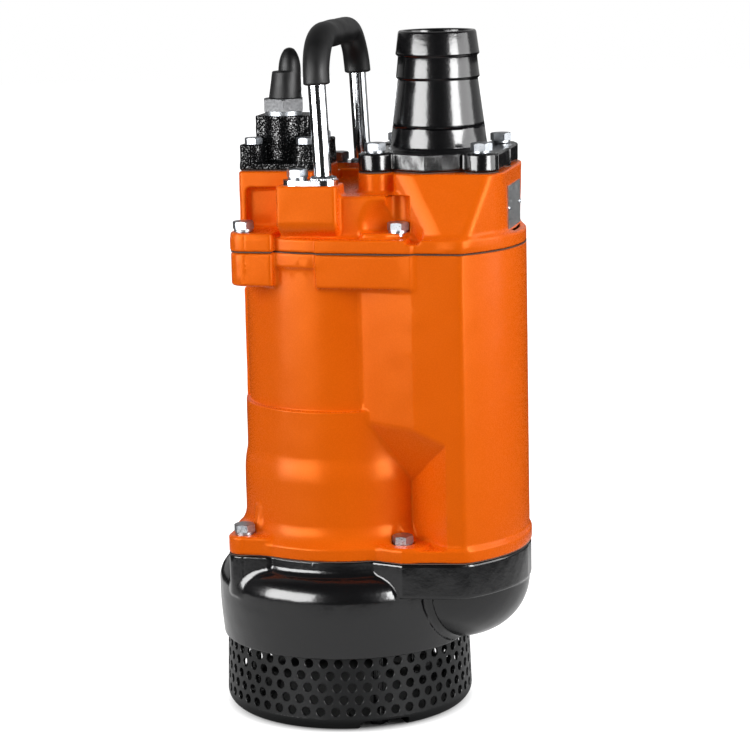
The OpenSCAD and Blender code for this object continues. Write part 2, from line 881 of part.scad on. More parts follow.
module seal_seat_upper() color("#e9e6dd") {
    translate([0, 0, z_hub_low]) ring(seat_r, shaft_r_seal + 1.5, hub_drop);
}

module oil_lifter() color(gasket_grey) {
    translate([0, 0, z_oil_floor]) ring(seat_r + 4, seat_r + 2, z_hub_low - 6 - z_oil_floor);
    translate([0, 0, z_oil_floor]) ring(seat_r + 12, seat_r + 2, 2.5);
}

module bearing_housing() color(gasket_grey) {
    r_hub = lower_bearing_r + 8;
    clip_t = 1.8;
    turned() difference() {
        union() {
            translate([shaft_r_seal + 3, z_bearing])
                square([recess_r - fit - shaft_r_seal - 3, bearing_disc_t]);
            translate([seat_r + fit, z_hub_low]) square([9, hub_drop + eps]);
            translate([lower_bearing_r + fit, z_shoulder - eps]) square([8, lower_bearing_h + 6]);
        }
        translate([lower_bearing_r, z_lower_top]) square([clip_groove, clip_t]);
        translate([r_hub, z_shoulder + lower_bearing_h + 5]) rotate(45) square(4, center = true);
    }
}

clip_groove = 2;

module bearing_circlip() color(steel) {
    difference() {
        translate([0, 0, z_lower_top])
            ring(lower_bearing_r + clip_groove - fit, lower_bearing_r - 4, 1.8 - fit);
        translate([0, -4, z_lower_top - 1]) cube([far, 8, 4]);
    }
}

// Bearing pieces, from the inner radius, outer radius, height and ball radius
function ball_ring_r(r_in, r_out) = (r_in + r_out) / 2;

module race_groove(r_in, r_out, h, ball) {
    translate([ball_ring_r(r_in, r_out), h / 2]) circle(r = ball + race_gap);
}

module outer_race(r_in, r_out, h, ball) {
    mid = ball_ring_r(r_in, r_out);
    turned() difference() {
        translate([mid + ball * 0.6, 0]) square([r_out - mid - ball * 0.6, h]);
        race_groove(r_in, r_out, h, ball);
    }
}

module inner_race(r_in, r_out, h, ball) {
    mid = ball_ring_r(r_in, r_out);
    turned() difference() {
        translate([r_in + fit, 0]) square([mid - ball * 0.6 - r_in - fit, h]);
        race_groove(r_in, r_out, h, ball);
    }
}

module ball_set(r_in, r_out, h, ball) {
    for (i = [0 : ball_count - 1]) rotate(i * 360 / ball_count)
        translate([ball_ring_r(r_in, r_out), 0, h / 2]) sphere(r = ball);
}

module lower_bearing_outer() color(steel) {
    translate([0, 0, z_lower_bearing])
        outer_race(shaft_r_lower, lower_bearing_r, lower_bearing_h, lower_ball_r);
}

module lower_bearing_balls() color(zinc) {
    translate([0, 0, z_lower_bearing])
        ball_set(shaft_r_lower, lower_bearing_r, lower_bearing_h, lower_ball_r);
}

module lower_bearing_inner() color(steel) {
    translate([0, 0, z_lower_bearing])
        inner_race(shaft_r_lower, lower_bearing_r, lower_bearing_h, lower_ball_r);
}

module upper_bearing_outer() color(steel) {
    translate([0, 0, z_upper_bearing])
        outer_race(shaft_r_upper, upper_bearing_r, upper_bearing_h, upper_ball_r);
}

module upper_bearing_balls() color(zinc) {
    translate([0, 0, z_upper_bearing])
        ball_set(shaft_r_upper, upper_bearing_r, upper_bearing_h, upper_ball_r);
}

module upper_bearing_inner() color(steel) {
    translate([0, 0, z_upper_bearing])
        inner_race(shaft_r_upper, upper_bearing_r, upper_bearing_h, upper_ball_r);
}

wave_t = 1.5;

module wave_washer() color(steel) {
    translate([0, 0, z_upper_top]) ring(upper_bearing_r - 1, upper_bearing_r - 6, wave_t);
}

module upper_bracket() color(gasket_grey) {
    hub_w = 8;
    turned() {
        difference() {
            union() {
                translate([0, z_bracket]) square([recess_r - fit, z_casing_top - z_bracket]);
                translate([0, z_upper_bearing])
                    square([upper_bearing_r + hub_w, z_bracket - z_upper_bearing + eps]);
            }
            translate([0, z_upper_bearing - 1])
                square([upper_bearing_r + fit, upper_bearing_h + 1 + wave_t]);
        }
    }
}

// ---------- Motor ----------

module rotor_core() color(steel) {
    translate([0, 0, z_stator]) ring(rotor_r, rotor_bore_r + fit, stator_len);
}

module rotor_end_rings() color("#c4c6c8") {
    for (z = [z_stator - end_ring_h, z_stator_top]) translate([0, 0, z])
        ring(rotor_r - 1, rotor_bore_r + 4, end_ring_h);
}

slot_count = 24;
slot_d = 9;

module at_slots() {
    for (i = [0 : slot_count - 1]) rotate(i * 360 / slot_count)
        translate([stator_bore_r + 10, 0, 0]) children();
}

module stator_core() color("#5c6066") {
    difference() {
        translate([0, 0, z_stator]) ring(stator_r, stator_bore_r, stator_len);
        at_slots() translate([0, 0, z_stator - 1]) cylinder(d = slot_d, h = stator_len + 2);
    }
}

module stator_windings() color(copper) {
    for (z = [z_stator - winding_h, z_stator_top]) translate([0, 0, z])
        ring(stator_r - 8, stator_bore_r + 4, winding_h);
    at_slots() translate([0, 0, z_stator - eps]) cylinder(d = slot_d - fit * 2, h = stator_len + eps * 2);
}

// Motor wall with its two steps, turned
module casing_wall_profile() {
    z_low = z_casing + low_step_h;
    z_mid = z_casing + mid_step_h;
    z_band = z_casing_top - 14;
    flare_x = casing_r_low + foot_round;
    flare_drop = sqrt(foot_round * foot_round - (flare_x - foot_r) * (flare_x - foot_r));
    polygon([[0, z_casing], [casing_r_low, z_casing], [casing_r_low, z_low],
        [casing_r_mid, z_low + step_chamfer], [casing_r_mid, z_mid],
        [casing_r, z_mid + step_chamfer], [casing_r, z_band - 4], [seam_band_r, z_band],
        [seam_band_r, z_casing_top], [0, z_casing_top]]);
    difference() {
        translate([0, z_casing]) square([foot_r, foot_flange_h + flare_drop]);
        translate([flare_x, z_casing + foot_flange_h + flare_drop]) circle(r = foot_round);
    }
}

// Body of the funnel: everything above a tilted face
module above_funnel() {
    difference() {
        translate([-far / 2, -far, 0]) cube([far * 1.5, far, far * 2]);
        translate([front_x, -side_y, z_casing + funnel_top]) rotate([0, 0, funnel_turn])
            rotate([0, funnel_tilt, 0])
            translate([-far, -far, -far * 2]) cube(far * 2);
    }
}

module side_body() {
    z_blend = z_casing + funnel_top;
    translate([0, 0, z_casing]) linear_extrude(casing_h) lower_side_plan();
    translate([0, 0, z_blend]) linear_extrude(z_casing_top - z_blend) upper_side_plan();
    both_sides() intersection() {
        translate([0, 0, z_blend - funnel_h]) linear_extrude(funnel_h + eps) intersection() {
            upper_side_plan();
            translate([0, -far]) square([far, far]);
        }
        above_funnel();
    }
}

module casing_outside() {
    pad_w = 28;
    pad_h = 107;
    lower_ear_h = ear_h;
    turned() casing_wall_profile();
    side_body();
    translate([0, 0, z_casing]) linear_extrude(foot_flange_h) foot_seam_plan();
    translate([0, 0, z_casing]) linear_extrude(lower_ear_h) both_sides() foot_ear_plan();
    translate([0, 0, z_casing_top - ear_depth]) linear_extrude(ear_depth) {
        lug_plan();
        both_sides() left_ear_plan();
    }
    intersection() {
        translate([-casing_r_mid, -pad_w / 2, z_casing + mid_step_h - 1])
            cube([casing_r_mid, pad_w, pad_h]);
        cylinder(r = casing_r_mid, h = far * 2);
    }
    both_sides() ear_web();
}

// Rib from the lower left ear up the motor wall
module ear_web() {
    web_t = 8;
    rotate(180 + atan2(casing_bolt_y, casing_bolt_left)) rotate([90, 0, 0]) translate([0, 0, -web_t / 2])
        linear_extrude(web_t) polygon([
            [casing_r_low - 4, z_casing + ear_h - 1], [casing_r_low + 4, z_casing + ear_h - 1],
            [casing_r_low + 4, z_casing + ear_h], [casing_r_low - 0.5, z_casing + ear_h + 24],
            [casing_r_low - 4, z_casing + ear_h + 24]]);
}

module motor_casing() color(orange_paint) {
    spot_r = bolt_d * washer_ratio / 2 + 2;
    difference() {
        casing_outside();
        cylinder(r = recess_r, h = z_shoulder);
        cylinder(r = jacket_r, h = far * 2);
        translate([0, 0, z_bracket]) cylinder(r = recess_r, h = far);
        translate([0, 0, z_casing - 1]) linear_extrude(casing_h + 2) passage_plan();
        at_cover_bolts() translate([0, 0, z_casing_top - bolt_reach - 4])
            cylinder(d = bolt_d + thread_gap * 2, h = far);
        at_casing_bolts() translate([0, 0, z_casing - 1])
            cylinder(d = bolt_d + hole_gap * 2, h = ear_h + 2);
        both_sides() translate([casing_bolt_right, casing_bolt_y, z_casing + foot_flange_h])
            cylinder(r = spot_r, h = 30);
        both_sides() translate([-casing_bolt_left, casing_bolt_y, z_casing + ear_h])
            cylinder(r = spot_r, h = 20);
    }
}

module casing_gasket() color(gasket_grey) {
    translate([0, 0, z_volute]) linear_extrude(gasket_t) difference() {
        foot_seam_plan();
        circle(r = recess_r);
        passage_plan();
        at_casing_bolts() circle(d = bolt_d + hole_gap * 2);
    }
}

module casing_washers() color(zinc) {
    both_sides() translate([casing_bolt_right, casing_bolt_y, z_casing + foot_flange_h]) washer(bolt_d);
    both_sides() translate([-casing_bolt_left, casing_bolt_y, z_casing + ear_h]) washer(bolt_d);
}

module casing_bolts() color(zinc) {
    grip = gasket_t + washer_t + bolt_reach + 4;
    both_sides() translate([casing_bolt_right, casing_bolt_y, z_casing + foot_flange_h + washer_t])
        bolt(bolt_d, grip + foot_flange_h);
    both_sides() translate([-casing_bolt_left, casing_bolt_y, z_casing + ear_h + washer_t])
        bolt(bolt_d, grip + ear_h);
}

// ---------- Head cover ----------

// Rounded square under the outlet flange
module cover_top_plan() {
    r = lobe_r + 4;
    hx = cover_end_x - outlet_x;
    translate([outlet_x, 0]) {
        square([(hx - r) * 2, cover_top_y * 2], center = true);
        square([hx * 2, (cover_top_y - r) * 2], center = true);
        for (x = [-1, 1], y = [-1, 1]) translate([x * (hx - r), y * (cover_top_y - r)])
            circle(r = r, $fn = 32);
    }
}

module cover_funnel() {
    top_t = 4;
    z_foot_line = z_cover + band_h;
    hull() {
        translate([0, 0, z_deck - top_t]) linear_extrude(top_t) intersection() {
            cover_top_plan();
            translate([funnel_x, -far / 2]) square(far);
        }
        translate([0, 0, z_foot_line - 1]) linear_extrude(1)
            polygon([[funnel_x, -valley_y - 5], [flank_x - 4, -side_y + 1.5],
                [bulge_end_x + 2, -side_y + 1.5],
                [cover_end_x - 1, -50], [cover_end_x, -38], [cover_end_x, 38], [cover_end_x - 1, 50],
                [bulge_end_x + 2, side_y - 1.5], [flank_x - 4, side_y - 1.5], [funnel_x, valley_y + 5]]);
    }
}

module cover_outside() {
    lobe_x = outlet_x - flange_bolt_s;
    boss_x0 = leg_x - foot_bolt_x - foot_w / 2;
    boss_len = foot_bolt_x + foot_w;
    column_h = chest_drop + 1;
    boss_y0 = leg_span / 2 - foot_w / 2 - 6;
    translate([0, 0, z_cover]) linear_extrude(band_h) head_seam_plan();
    translate([0, 0, z_cover]) linear_extrude(ear_h) both_sides() {
        left_ear_plan();
        translate([cover_bolt_s, cover_bolt_s]) circle(r = ear_r + 2);
        translate([cover_bolt_s - 30, 0]) square([50, cover_bolt_s + ear_r]);
    }
    cover_funnel();
    // Deck under the cable housing, and the outlet flange's seat across the gap beside it
    translate([-cover_left, -deck_y, z_cover + 5])
        cube([cover_left + deck_end_x, deck_y * 2, cover_h - 5]);
    translate([lobe_x - lobe_r + 1, -deck_y, z_cover + 5])
        cube([funnel_x - lobe_x + lobe_r, deck_y * 2, cover_h - 5]);
    // Lower chamber between the handle bosses and the outlet
    translate([-40, -chest_y, z_cover + 5])
        cube([40 + funnel_x + 1, chest_y * 2, cover_h - chest_drop - 5]);
    // Columns under the left lobes of the outlet flange
    at_corners(lobe_x, lobe_x, flange_bolt_s) translate([0, 0, z_deck - column_h])
        cylinder(r = lobe_r, h = column_h);
    // Handle bosses
    both_sides() translate([boss_x0, 0, z_cover + band_h - 1])
        linear_extrude(z_foot - z_cover - band_h + 1) {
            translate([8, boss_y0]) square([boss_len - 16, boss_y - boss_y0]);
            translate([0, boss_y0]) square([boss_len, boss_y - 8 - boss_y0]);
            translate([0, 40]) square([deck_end_x - boss_x0, boss_y0 - 39]);
            for (x = [8, boss_len - 8]) translate([x, boss_y - 8]) circle(r = 8);
        }
}

module cover_hollow() {
    left = cover_left - cover_wall;
    right = outlet_x - outlet_bore_r - 8 - cover_wall * 2;
    roof = cover_h - cover_wall;
    translate([-left, -core_y, z_cover - 1])
        cube([left + deck_end_x - cover_wall, core_y * 2, roof + 1]);
    translate([-32, -chest_y + cover_wall + 4, z_cover - 1])
        cube([32 + right - 6, (chest_y - cover_wall - 4) * 2, cover_h - chest_drop - cover_wall + 1]);
    translate([-housing_x, 0, z_deck - cover_wall - 1]) cube([44, 50, cover_wall * 3], center = true);
}

module cover_passage() {
    blend = cover_h * 0.5;
    translate([0, 0, z_cover - 1]) linear_extrude(blend + 1) intersection() {
        passage_plan();
        translate([outlet_x, 0]) circle(r = cover_end_x - outlet_x - passage_wall);
    }
    translate([outlet_x, 0, z_cover]) cylinder(r = outlet_bore_r + 6, h = far);
}

module head_cover() color(orange_paint) {
    spot_r = bolt_d * washer_ratio / 2 + 2;
    difference() {
        cover_outside();
        cover_hollow();
        cover_passage();
        at_cover_bolts() translate([0, 0, z_cover - 1]) cylinder(d = bolt_d + hole_gap * 2, h = ear_h + 2);
        at_cover_bolts() translate([0, 0, z_cover + ear_h]) cylinder(r = spot_r, h = 34);
        at_flange_bolts() translate([0, 0, z_deck - flange_reach - 2])
            cylinder(d = bolt_d + thread_gap * 2, h = far);
        at_housing_bolts() translate([0, 0, z_deck - cover_wall + 1])
            cylinder(d = small_bolt_d + thread_gap * 2, h = far);
        at_handle_bolts() translate([0, 0, z_foot - bolt_reach - 2])
            cylinder(d = bolt_d + thread_gap * 2, h = far);
        both_sides() side_pocket();
        for (y = [-1, 1]) translate([cover_end_x - 5, y * (plate_len / 2 - rivet_d), plate_z])
            rotate([0, 90, 0]) cylinder(d = rivet_d + thread_gap * 2, h = far);
    }
}

// Hollow in the cover's flank that leaves room for a wrench on the left bolt
module side_pocket() {
    pocket_d = 6;
    translate([-cover_left + 8, deck_y - pocket_d, z_cover + ear_h])
        cube([cover_left - 8 + leg_x - foot_bolt_x - foot_w / 2, far, 38]);
}

module cover_gasket() color(gasket_grey) {
    translate([0, 0, z_casing_top]) difference() {
        linear_extrude(gasket_t) head_seam_plan();
        translate([0, 0, -1]) linear_extrude(gasket_t + 2) {
            circle(r = recess_r - 6);
            passage_plan();
            at_cover_bolts() circle(d = bolt_d + hole_gap * 2);
        }
    }
}

module cover_washers() color(zinc) {
    at_cover_bolts() translate([0, 0, z_cover + ear_h]) washer(bolt_d);
}

module cover_bolts() color(zinc) {
    at_cover_bolts() translate([0, 0, z_cover + ear_h + washer_t])
        bolt(bolt_d, ear_h + washer_t + gasket_t + bolt_reach);
}

module thermal_protector() color(rubber) {
    translate([-60, -18, z_cover - gasket_t]) cube([30, 36, 14]);
}

module nameplate() color("#c9cbcc") {
    difference() {
        translate([cover_end_x, -plate_len / 2, plate_z - plate_h / 2]) cube([plate_t, plate_len, plate_h]);
        for (y = [-1, 1]) translate([cover_end_x - 1, y * (plate_len / 2 - rivet_d), plate_z])
            rotate([0, 90, 0]) cylinder(d = rivet_d + hole_gap, h = 10);
    }
}

module nameplate_rivets() color(steel) {
    for (y = [-1, 1]) translate([cover_end_x, y * (plate_len / 2 - rivet_d), plate_z]) rotate([0, 90, 0]) {
        translate([0, 0, -4]) cylinder(d = rivet_d, h = 4 + plate_t + eps);
        translate([0, 0, plate_t]) cylinder(d1 = rivet_d * 1.8, d2 = rivet_d, h = 1.2);
    }
}

// ---------- Outlet ----------

module hose_coupling() color(black_cast) {
    z0 = z_top;
    z1 = z0 + flange_t;
    z2 = z1 + tail_h;
    neck = tail_h - barb_h * 2;
    root_r = tail_ridge_r - 1.8;
    difference() {
        union() {
            translate([0, 0, z0]) linear_extrude(flange_t) flange_plan();
            translate([outlet_x, 0, 0]) turned()
                polygon([[0, z0], [tail_foot_r + 3, z1 - 1], [tail_foot_r + 3, z1],
                [tail_foot_r, z1 + 3], [root_r, z1 + neck], [tail_ridge_r, z1 + neck], [root_r,
                    z2 - barb_h],
                [tail_ridge_r, z2 - barb_h], [tail_rim_r, z2], [0, z2]]);
        }
        translate([outlet_x, 0, z0 - 1]) cylinder(r = outlet_bore_r, h = far);
        at_flange_bolts() translate([0, 0, z0 - 1]) cylinder(d = bolt_d + hole_gap * 2, h = flange_t + 2);
    }
}

module flange_gasket() color(gasket_grey) {
    translate([0, 0, z_deck]) linear_extrude(gasket_t) difference() {
        flange_plan();
        translate([outlet_x, 0]) circle(r = outlet_bore_r + 6);
        at_flange_bolts() circle(d = bolt_d + hole_gap * 2);
    }
}

module flange_washers() color(zinc) {
    at_flange_bolts() translate([0, 0, z_top + flange_t]) washer(bolt_d);
}

module flange_bolts() color(zinc) {
    at_flange_bolts() translate([0, 0, z_top + flange_t + washer_t])
        bolt(bolt_d, flange_t + washer_t + gasket_t + flange_reach);
}

// ---------- Cable entry ----------

module housing_gasket() color(gasket_grey) {
    translate([0, 0, z_deck]) linear_extrude(gasket_t) difference() {
        housing_plan();
        translate([-housing_x, 0]) square([44, 50], center = true);
        at_housing_bolts() circle(d = small_bolt_d + hole_gap * 2);
    }
}

module cable_housing() color("#1d1e20") {
    foot_h = 6;
    wall = 6;
    half = block_len / 2;
    difference() {
        union() {
            translate([0, 0, z_top]) linear_extrude(foot_h) housing_plan();
            translate([0, 0, z_top]) linear_extrude(lug_h) housing_lug_plan();
            translate([-housing_x, 0, z_top + lug_h / 2])
                cube([housing_len, (housing_bolt_y - lug_r + 4) * 2, lug_h], center = true);
            translate([-housing_x - half, block_y0, z_top])
                cube([block_len, block_y1 - block_y0, housing_h]);
            translate([-gland_x, -gland_y, z_top]) cylinder(r = gland_r, h = housing_h);
        }
        translate([-housing_x - half + wall, block_y0 + wall, z_top - 1])
            cube([block_len - wall * 2, block_y1 - block_y0 - wall * 2, housing_h - wall + 1]);
        translate([-gland_x, -gland_y, z_top]) cylinder(r = gland_thread_r + thread_gap, h = far);
        at_housing_bolts() translate([0, 0, z_top - 1]) cylinder(d = small_bolt_d + hole_gap * 2, h = far);
        for (x = [-1, 1]) translate([-housing_x + x * (half - 5), block_y0 - 3, z_top + foot_h])
            cylinder(r = 8, h = lug_h - foot_h);
    }
}

gland_thread_r = 13;

module housing_bolts() color(zinc) {
    at_housing_bolts() translate([0, 0, z_top + lug_h])
        bolt(small_bolt_d, lug_h + gasket_t + cover_wall - 2);
}

module gland_collar() color(zinc) {
    translate([-gland_x, -gland_y, z_block]) ring(gland_r, cable_bore_r, gland_collar_h);
    translate([-gland_x, -gland_y, z_block - 10]) ring(gland_thread_r, cable_bore_r, 10 + eps);
}

module gland_nut() color(steel) {
    translate([-gland_x, -gland_y, z_block + gland_collar_h]) difference() {
        rotate(-90 + 14) intersection() {
            cylinder(d = gland_af / cos(30), h = gland_nut_h, $fn = 6);
            cylinder(r1 = gland_af, r2 = gland_af / 2 + 1, h = gland_nut_h);
        }
        translate([0, 0, -1]) cylinder(r = cable_bore_r + 2.5, h = gland_nut_h + 2);
    }
}

module gland_packing() color(rubber) {
    translate([-gland_x, -gland_y, z_block + gland_collar_h])
        ring(cable_bore_r + 2.5 - fit, cable_bore_r - 1, gland_nut_h);
}

boot_lean = 2;
tip_r = 8.2;

module cable_boot() color(rubber) {
    cone_top_r = boot_r - 3.2;
    shift = 2;
    z_boot = z_block + gland_collar_h + gland_nut_h;
    translate([-gland_x + shift, -gland_y, z_boot]) {
        difference() {
            rotate([0, boot_lean, 0]) cylinder(r1 = boot_r, r2 = cone_top_r, h = boot_h);
            translate([-far / 2, -far / 2, -far]) cube(far);
        }
        cylinder(r = boot_r - 0.6, h = 1);
        translate([2.4, 0, boot_h - 8]) {
            cylinder(r1 = stub_r + 0.4, r2 = tip_r, h = 8 + stub_h - tip_r);
            translate([0, 0, 8 + stub_h - tip_r]) sphere(r = tip_r);
        }
    }
}

// ---------- Handle ----------

module at_handle_bolts() {
    at_corners(leg_x - foot_bolt_x, leg_x - foot_bolt_x, leg_span / 2) children();
}

// Handle's bar shape in the plane of its legs, from a height above the feet upwards
module handle_path(r, from_z) {
    half = leg_span / 2;
    leg_top = handle_rise - bend_r;
    for (side = [-1, 1]) translate([0, side * half, from_z]) cylinder(r = r, h = leg_top - from_z);
    translate([0, half - bend_r, leg_top]) rotate([90, 0, 90]) bend(r);
    translate([0, bend_r - half, leg_top]) rotate([90, 0, 90]) rotate(90) bend(r);
    translate([0, half - bend_r, handle_rise]) rotate([90, 0, 0]) cylinder(r = r, h = (half - bend_r) * 2);
}

module bend(r) {
    rotate_extrude(angle = 90) translate([bend_r, 0]) circle(r = r);
}

module handle_bar() color("#c8cacd") {
    translate([leg_x, 0, z_foot]) {
        difference() {
            rotate([0, -handle_lean, 0]) handle_path(bar_d / 2, -2);
            translate([-far / 2, -far / 2, -far]) cube(far);
        }
        both_sides() translate([0, leg_span / 2, 0]) difference() {
            union() {
                translate([-foot_bolt_x, -foot_w / 2, 0]) cube([foot_bolt_x, foot_w, foot_t]);
                translate([-foot_bolt_x, 0, 0]) cylinder(d = foot_w, h = foot_t);
                cylinder(d = foot_w, h = foot_t);
                translate([0, 0, foot_t]) cylinder(r1 = bar_d / 2 + 4, r2 = bar_d / 2, h = 4);
            }
            translate([-foot_bolt_x, 0, -1]) cylinder(d = bolt_d + hole_gap * 2, h = foot_t + 2);
        }
    }
}

module handle_grip() color(rubber) {
    z_grip = handle_rise - bend_r - grip_leg;
    translate([leg_x, 0, z_foot]) rotate([0, -handle_lean, 0]) difference() {
        handle_path(grip_d / 2, z_grip);
        handle_path(bar_d / 2 + fit, z_grip - 1);
    }
}

module handle_washers() color(zinc) {
    at_handle_bolts() translate([0, 0, z_foot + foot_t]) washer(bolt_d);
}

module handle_bolts() color(zinc) {
    at_handle_bolts() translate([0, 0, z_foot + foot_t + washer_t])
        bolt(bolt_d, foot_t + washer_t + bolt_reach);
}

strainer();
strainer_studs();
strainer_nuts();
suction_cover();
suction_cover_screws();
volute_casing();
impeller();
impeller_nut();
impeller_washer();
impeller_key();
shaft();
oil_housing();
oil_housing_screws();
seal_seat_lower();
seal_ring_lower();
seal_bellows();
seal_ring_upper();
seal_seat_upper();
oil_lifter();
bearing_housing();
lower_bearing_outer();
lower_bearing_balls();
lower_bearing_inner();
bearing_circlip();
rotor_core();
rotor_end_rings();
stator_core();
stator_windings();
upper_bracket();
upper_bearing_outer();
upper_bearing_balls();
upper_bearing_inner();
wave_washer();
motor_casing();
casing_gasket();
casing_bolts();
casing_washers();
head_cover();
cover_gasket();
cover_bolts();
cover_washers();
thermal_protector();
cable_housing();
housing_gasket();
housing_bolts();
gland_collar();
gland_nut();
gland_packing();
cable_boot();
handle_bar();
handle_grip();
handle_bolts();
handle_washers();
hose_coupling();
flange_gasket();
flange_bolts();
flange_washers();
nameplate();
nameplate_rivets();
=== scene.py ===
"""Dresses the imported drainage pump: castings, basket, hose tail, handle and cable entry.

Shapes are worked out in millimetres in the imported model's own frame and become metres in Blender.
"""

import logging
import math
from concurrent.futures import ThreadPoolExecutor
from dataclasses import dataclass, field
from enum import Enum
from typing import Callable, Sequence

import bmesh
import bpy
import numpy as np
from mathutils import Matrix, Vector

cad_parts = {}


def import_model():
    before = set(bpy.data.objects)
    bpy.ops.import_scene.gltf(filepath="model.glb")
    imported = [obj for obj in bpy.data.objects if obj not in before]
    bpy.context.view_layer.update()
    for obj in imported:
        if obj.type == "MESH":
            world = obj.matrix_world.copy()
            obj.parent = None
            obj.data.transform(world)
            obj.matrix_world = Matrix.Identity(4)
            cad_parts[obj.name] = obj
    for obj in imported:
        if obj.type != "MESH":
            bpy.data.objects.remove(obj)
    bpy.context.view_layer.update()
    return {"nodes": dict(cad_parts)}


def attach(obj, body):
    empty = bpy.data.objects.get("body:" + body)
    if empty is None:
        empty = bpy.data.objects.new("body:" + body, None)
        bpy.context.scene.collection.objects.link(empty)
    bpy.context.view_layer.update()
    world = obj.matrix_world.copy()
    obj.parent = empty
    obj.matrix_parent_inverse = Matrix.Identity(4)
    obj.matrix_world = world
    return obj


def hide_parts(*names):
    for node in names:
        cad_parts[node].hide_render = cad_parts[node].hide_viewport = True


MM = 0.001
BODY = "pump_body"
# Voxels along a block of the sampling grid, points that a thread measures at a time, and threads
BLOCK = 4
CHUNK = 1 << 16
THREADS = 4
# How far plans run past the middle plane and past the outlet's end, so that their edges stay out of the way
PAST = 60.0
FAR = 300.0

Array = np.ndarray
Distance = Callable[[Array], Array]
Pair = tuple[float, float]
Point = tuple[float, float, float]
Line = tuple[Pair, ...]
Box = tuple[float, float, float, float]
Quads = list[tuple[int, ...]]
Thing = bpy.types.Object
Tree = bpy.types.NodeTree
Socket = bpy.types.NodeSocket
Values = dict[str | int, object]

log = logging.getLogger("pump")


# ---------- Distance shapes, in millimetres ----------


def join(a: Array, b: Array, r: float = 0.0) -> Array:
    """Union of two shapes.

    Args:
        a: Distances to the first shape.
        b: Distances to the second shape.
        r: Radius of the fillet in the corner between them.

    Returns:
        Distances to the union.
    """
    if r <= 0:
        return np.minimum(a, b)
    u, v = np.maximum(r - a, 0), np.maximum(r - b, 0)
    return np.maximum(r, np.minimum(a, b)) - np.sqrt(u * u + v * v)


def clip(a: Array, b: Array, r: float = 0.0) -> Array:
    """Intersection of two shapes.

    Args:
        a: Distances to the first shape.
        b: Distances to the second shape.
        r: Radius that rounds the edge between them.

    Returns:
        Distances to the intersection.
    """
    if r <= 0:
        return np.maximum(a, b)
    u, v = np.maximum(r + a, 0), np.maximum(r + b, 0)
    return np.minimum(-r, np.maximum(a, b)) + np.sqrt(u * u + v * v)


def joined(body: Array, *parts: tuple[Array, float]) -> Array:
    """Adds parts to a body one after another.

    Args:
        body: Distances to the body.
        parts: Distances to each part and the radius of its fillet.

    Returns:
        Distances to the whole.
    """
    for part, r in parts:
        body = join(body, part, r)
    return body


def between(value: Array, low: float, high: float) -> Array:
    """Distance to the slab between two planes across one axis."""
    return np.abs(value - (low + high) / 2) - (high - low) / 2


def prism(plan: Array, z: Array, low: float, high: float, r: float = 0.0) -> Array:
    """Distance to a plan outline drawn up from low to high, its edges rounded by r."""
    return clip(plan, between(z, low, high), r)


def disc(x: Array, y: Array, cx: float, cy: float, r: float) -> Array:
    """Distance to a circle's inside."""
    return np.hypot(x - cx, y - cy) - r


def block(x: Array, y: Array, x0: float, x1: float, y0: float, y1: float, r: float = 0.0) -> Array:
    """Distance to a rectangle with its corners rounded by r."""
    return clip(between(x, x0, x1), between(y, y0, y1), r)


def outline(x: Array, y: Array, corners: Sequence[Pair]) -> Array:
    """Distance to a closed polygon.

    Args:
        x: First coordinates of the points.
        y: Second coordinates of the points.
        corners: The polygon's corners in order.

    Returns:
        Distances, negative inside.
    """
    nearest = np.full(x.shape, np.inf, x.dtype)
    outside = np.ones(x.shape, bool)
    for i, (ax, ay) in enumerate(corners):
        bx, by = corners[i - 1]
        ex, ey = bx - ax, by - ay
        wx, wy = x - ax, y - ay
        t = np.clip((wx * ex + wy * ey) / (ex * ex + ey * ey), 0, 1)
        nearest = np.minimum(nearest, (wx - ex * t) ** 2 + (wy - ey * t) ** 2)
        above, below, left = y >= ay, y < by, ex * wy > ey * wx
        outside ^= (above & below & left) | (~above & ~below & ~left)
    return np.where(outside, 1, -1) * np.sqrt(nearest)


def plane(p: Sequence[Array], through: Point, normal: Point) -> Array:
    """Distance over a plane whose outward normal is given."""
    length = math.sqrt(sum(n * n for n in normal))
    return sum((p[k] - through[k]) * (normal[k] / length) for k in range(3))


def ripple(p: Sequence[Array], size: float, height: float) -> Array:
    """Slow unevenness of a sand-cast wall: two crossed waves whose odd ratios hide their repeat.

    Args:
        p: The three coordinates.
        size: Length of a wave.
        height: Height of a wave.

    Returns:
        Offsets of the surface.
    """
    k = 2 * math.pi / size
    x, y, z = p[0] * k, p[1] * k, p[2] * k
    waves = np.sin(x + 0.7 * y + 1.3) * np.sin(z * 0.83 + 0.5 * y)
    waves += np.sin(1.7 * y - 0.6 * x) * np.sin(1.31 * z + 2.1)
    return waves * (height / 2)


# ---------- From distances to meshes ----------


def measure(distance: Distance, points: Array) -> Array:
    """Works out the distances of many points, in equal parts side by side.

    Args:
        distance: The shape.
        points: Rows of three coordinates.

    Returns:
        One distance for each point.
    """
    parts = [points[i : i + CHUNK] for i in range(0, len(points), CHUNK)]
    with ThreadPoolExecutor(THREADS) as pool:
        return np.concatenate(list(pool.map(distance, parts)))


def slope(distance: Distance, points: Array) -> Array:
    """Gradient of the distance, from four corners of a small tetrahedron.

    Args:
        distance: The shape.
        points: Rows of three coordinates.

    Returns:
        One gradient for each point.
    """
    reach = 0.12
    total = np.zeros_like(points)
    for corner in ((1, -1, -1), (-1, -1, 1), (-1, 1, -1), (1, 1, 1)):
        way = np.array(corner, points.dtype)
        total += measure(distance, points + way * reach)[:, None] * way
    return total / (4 * reach)


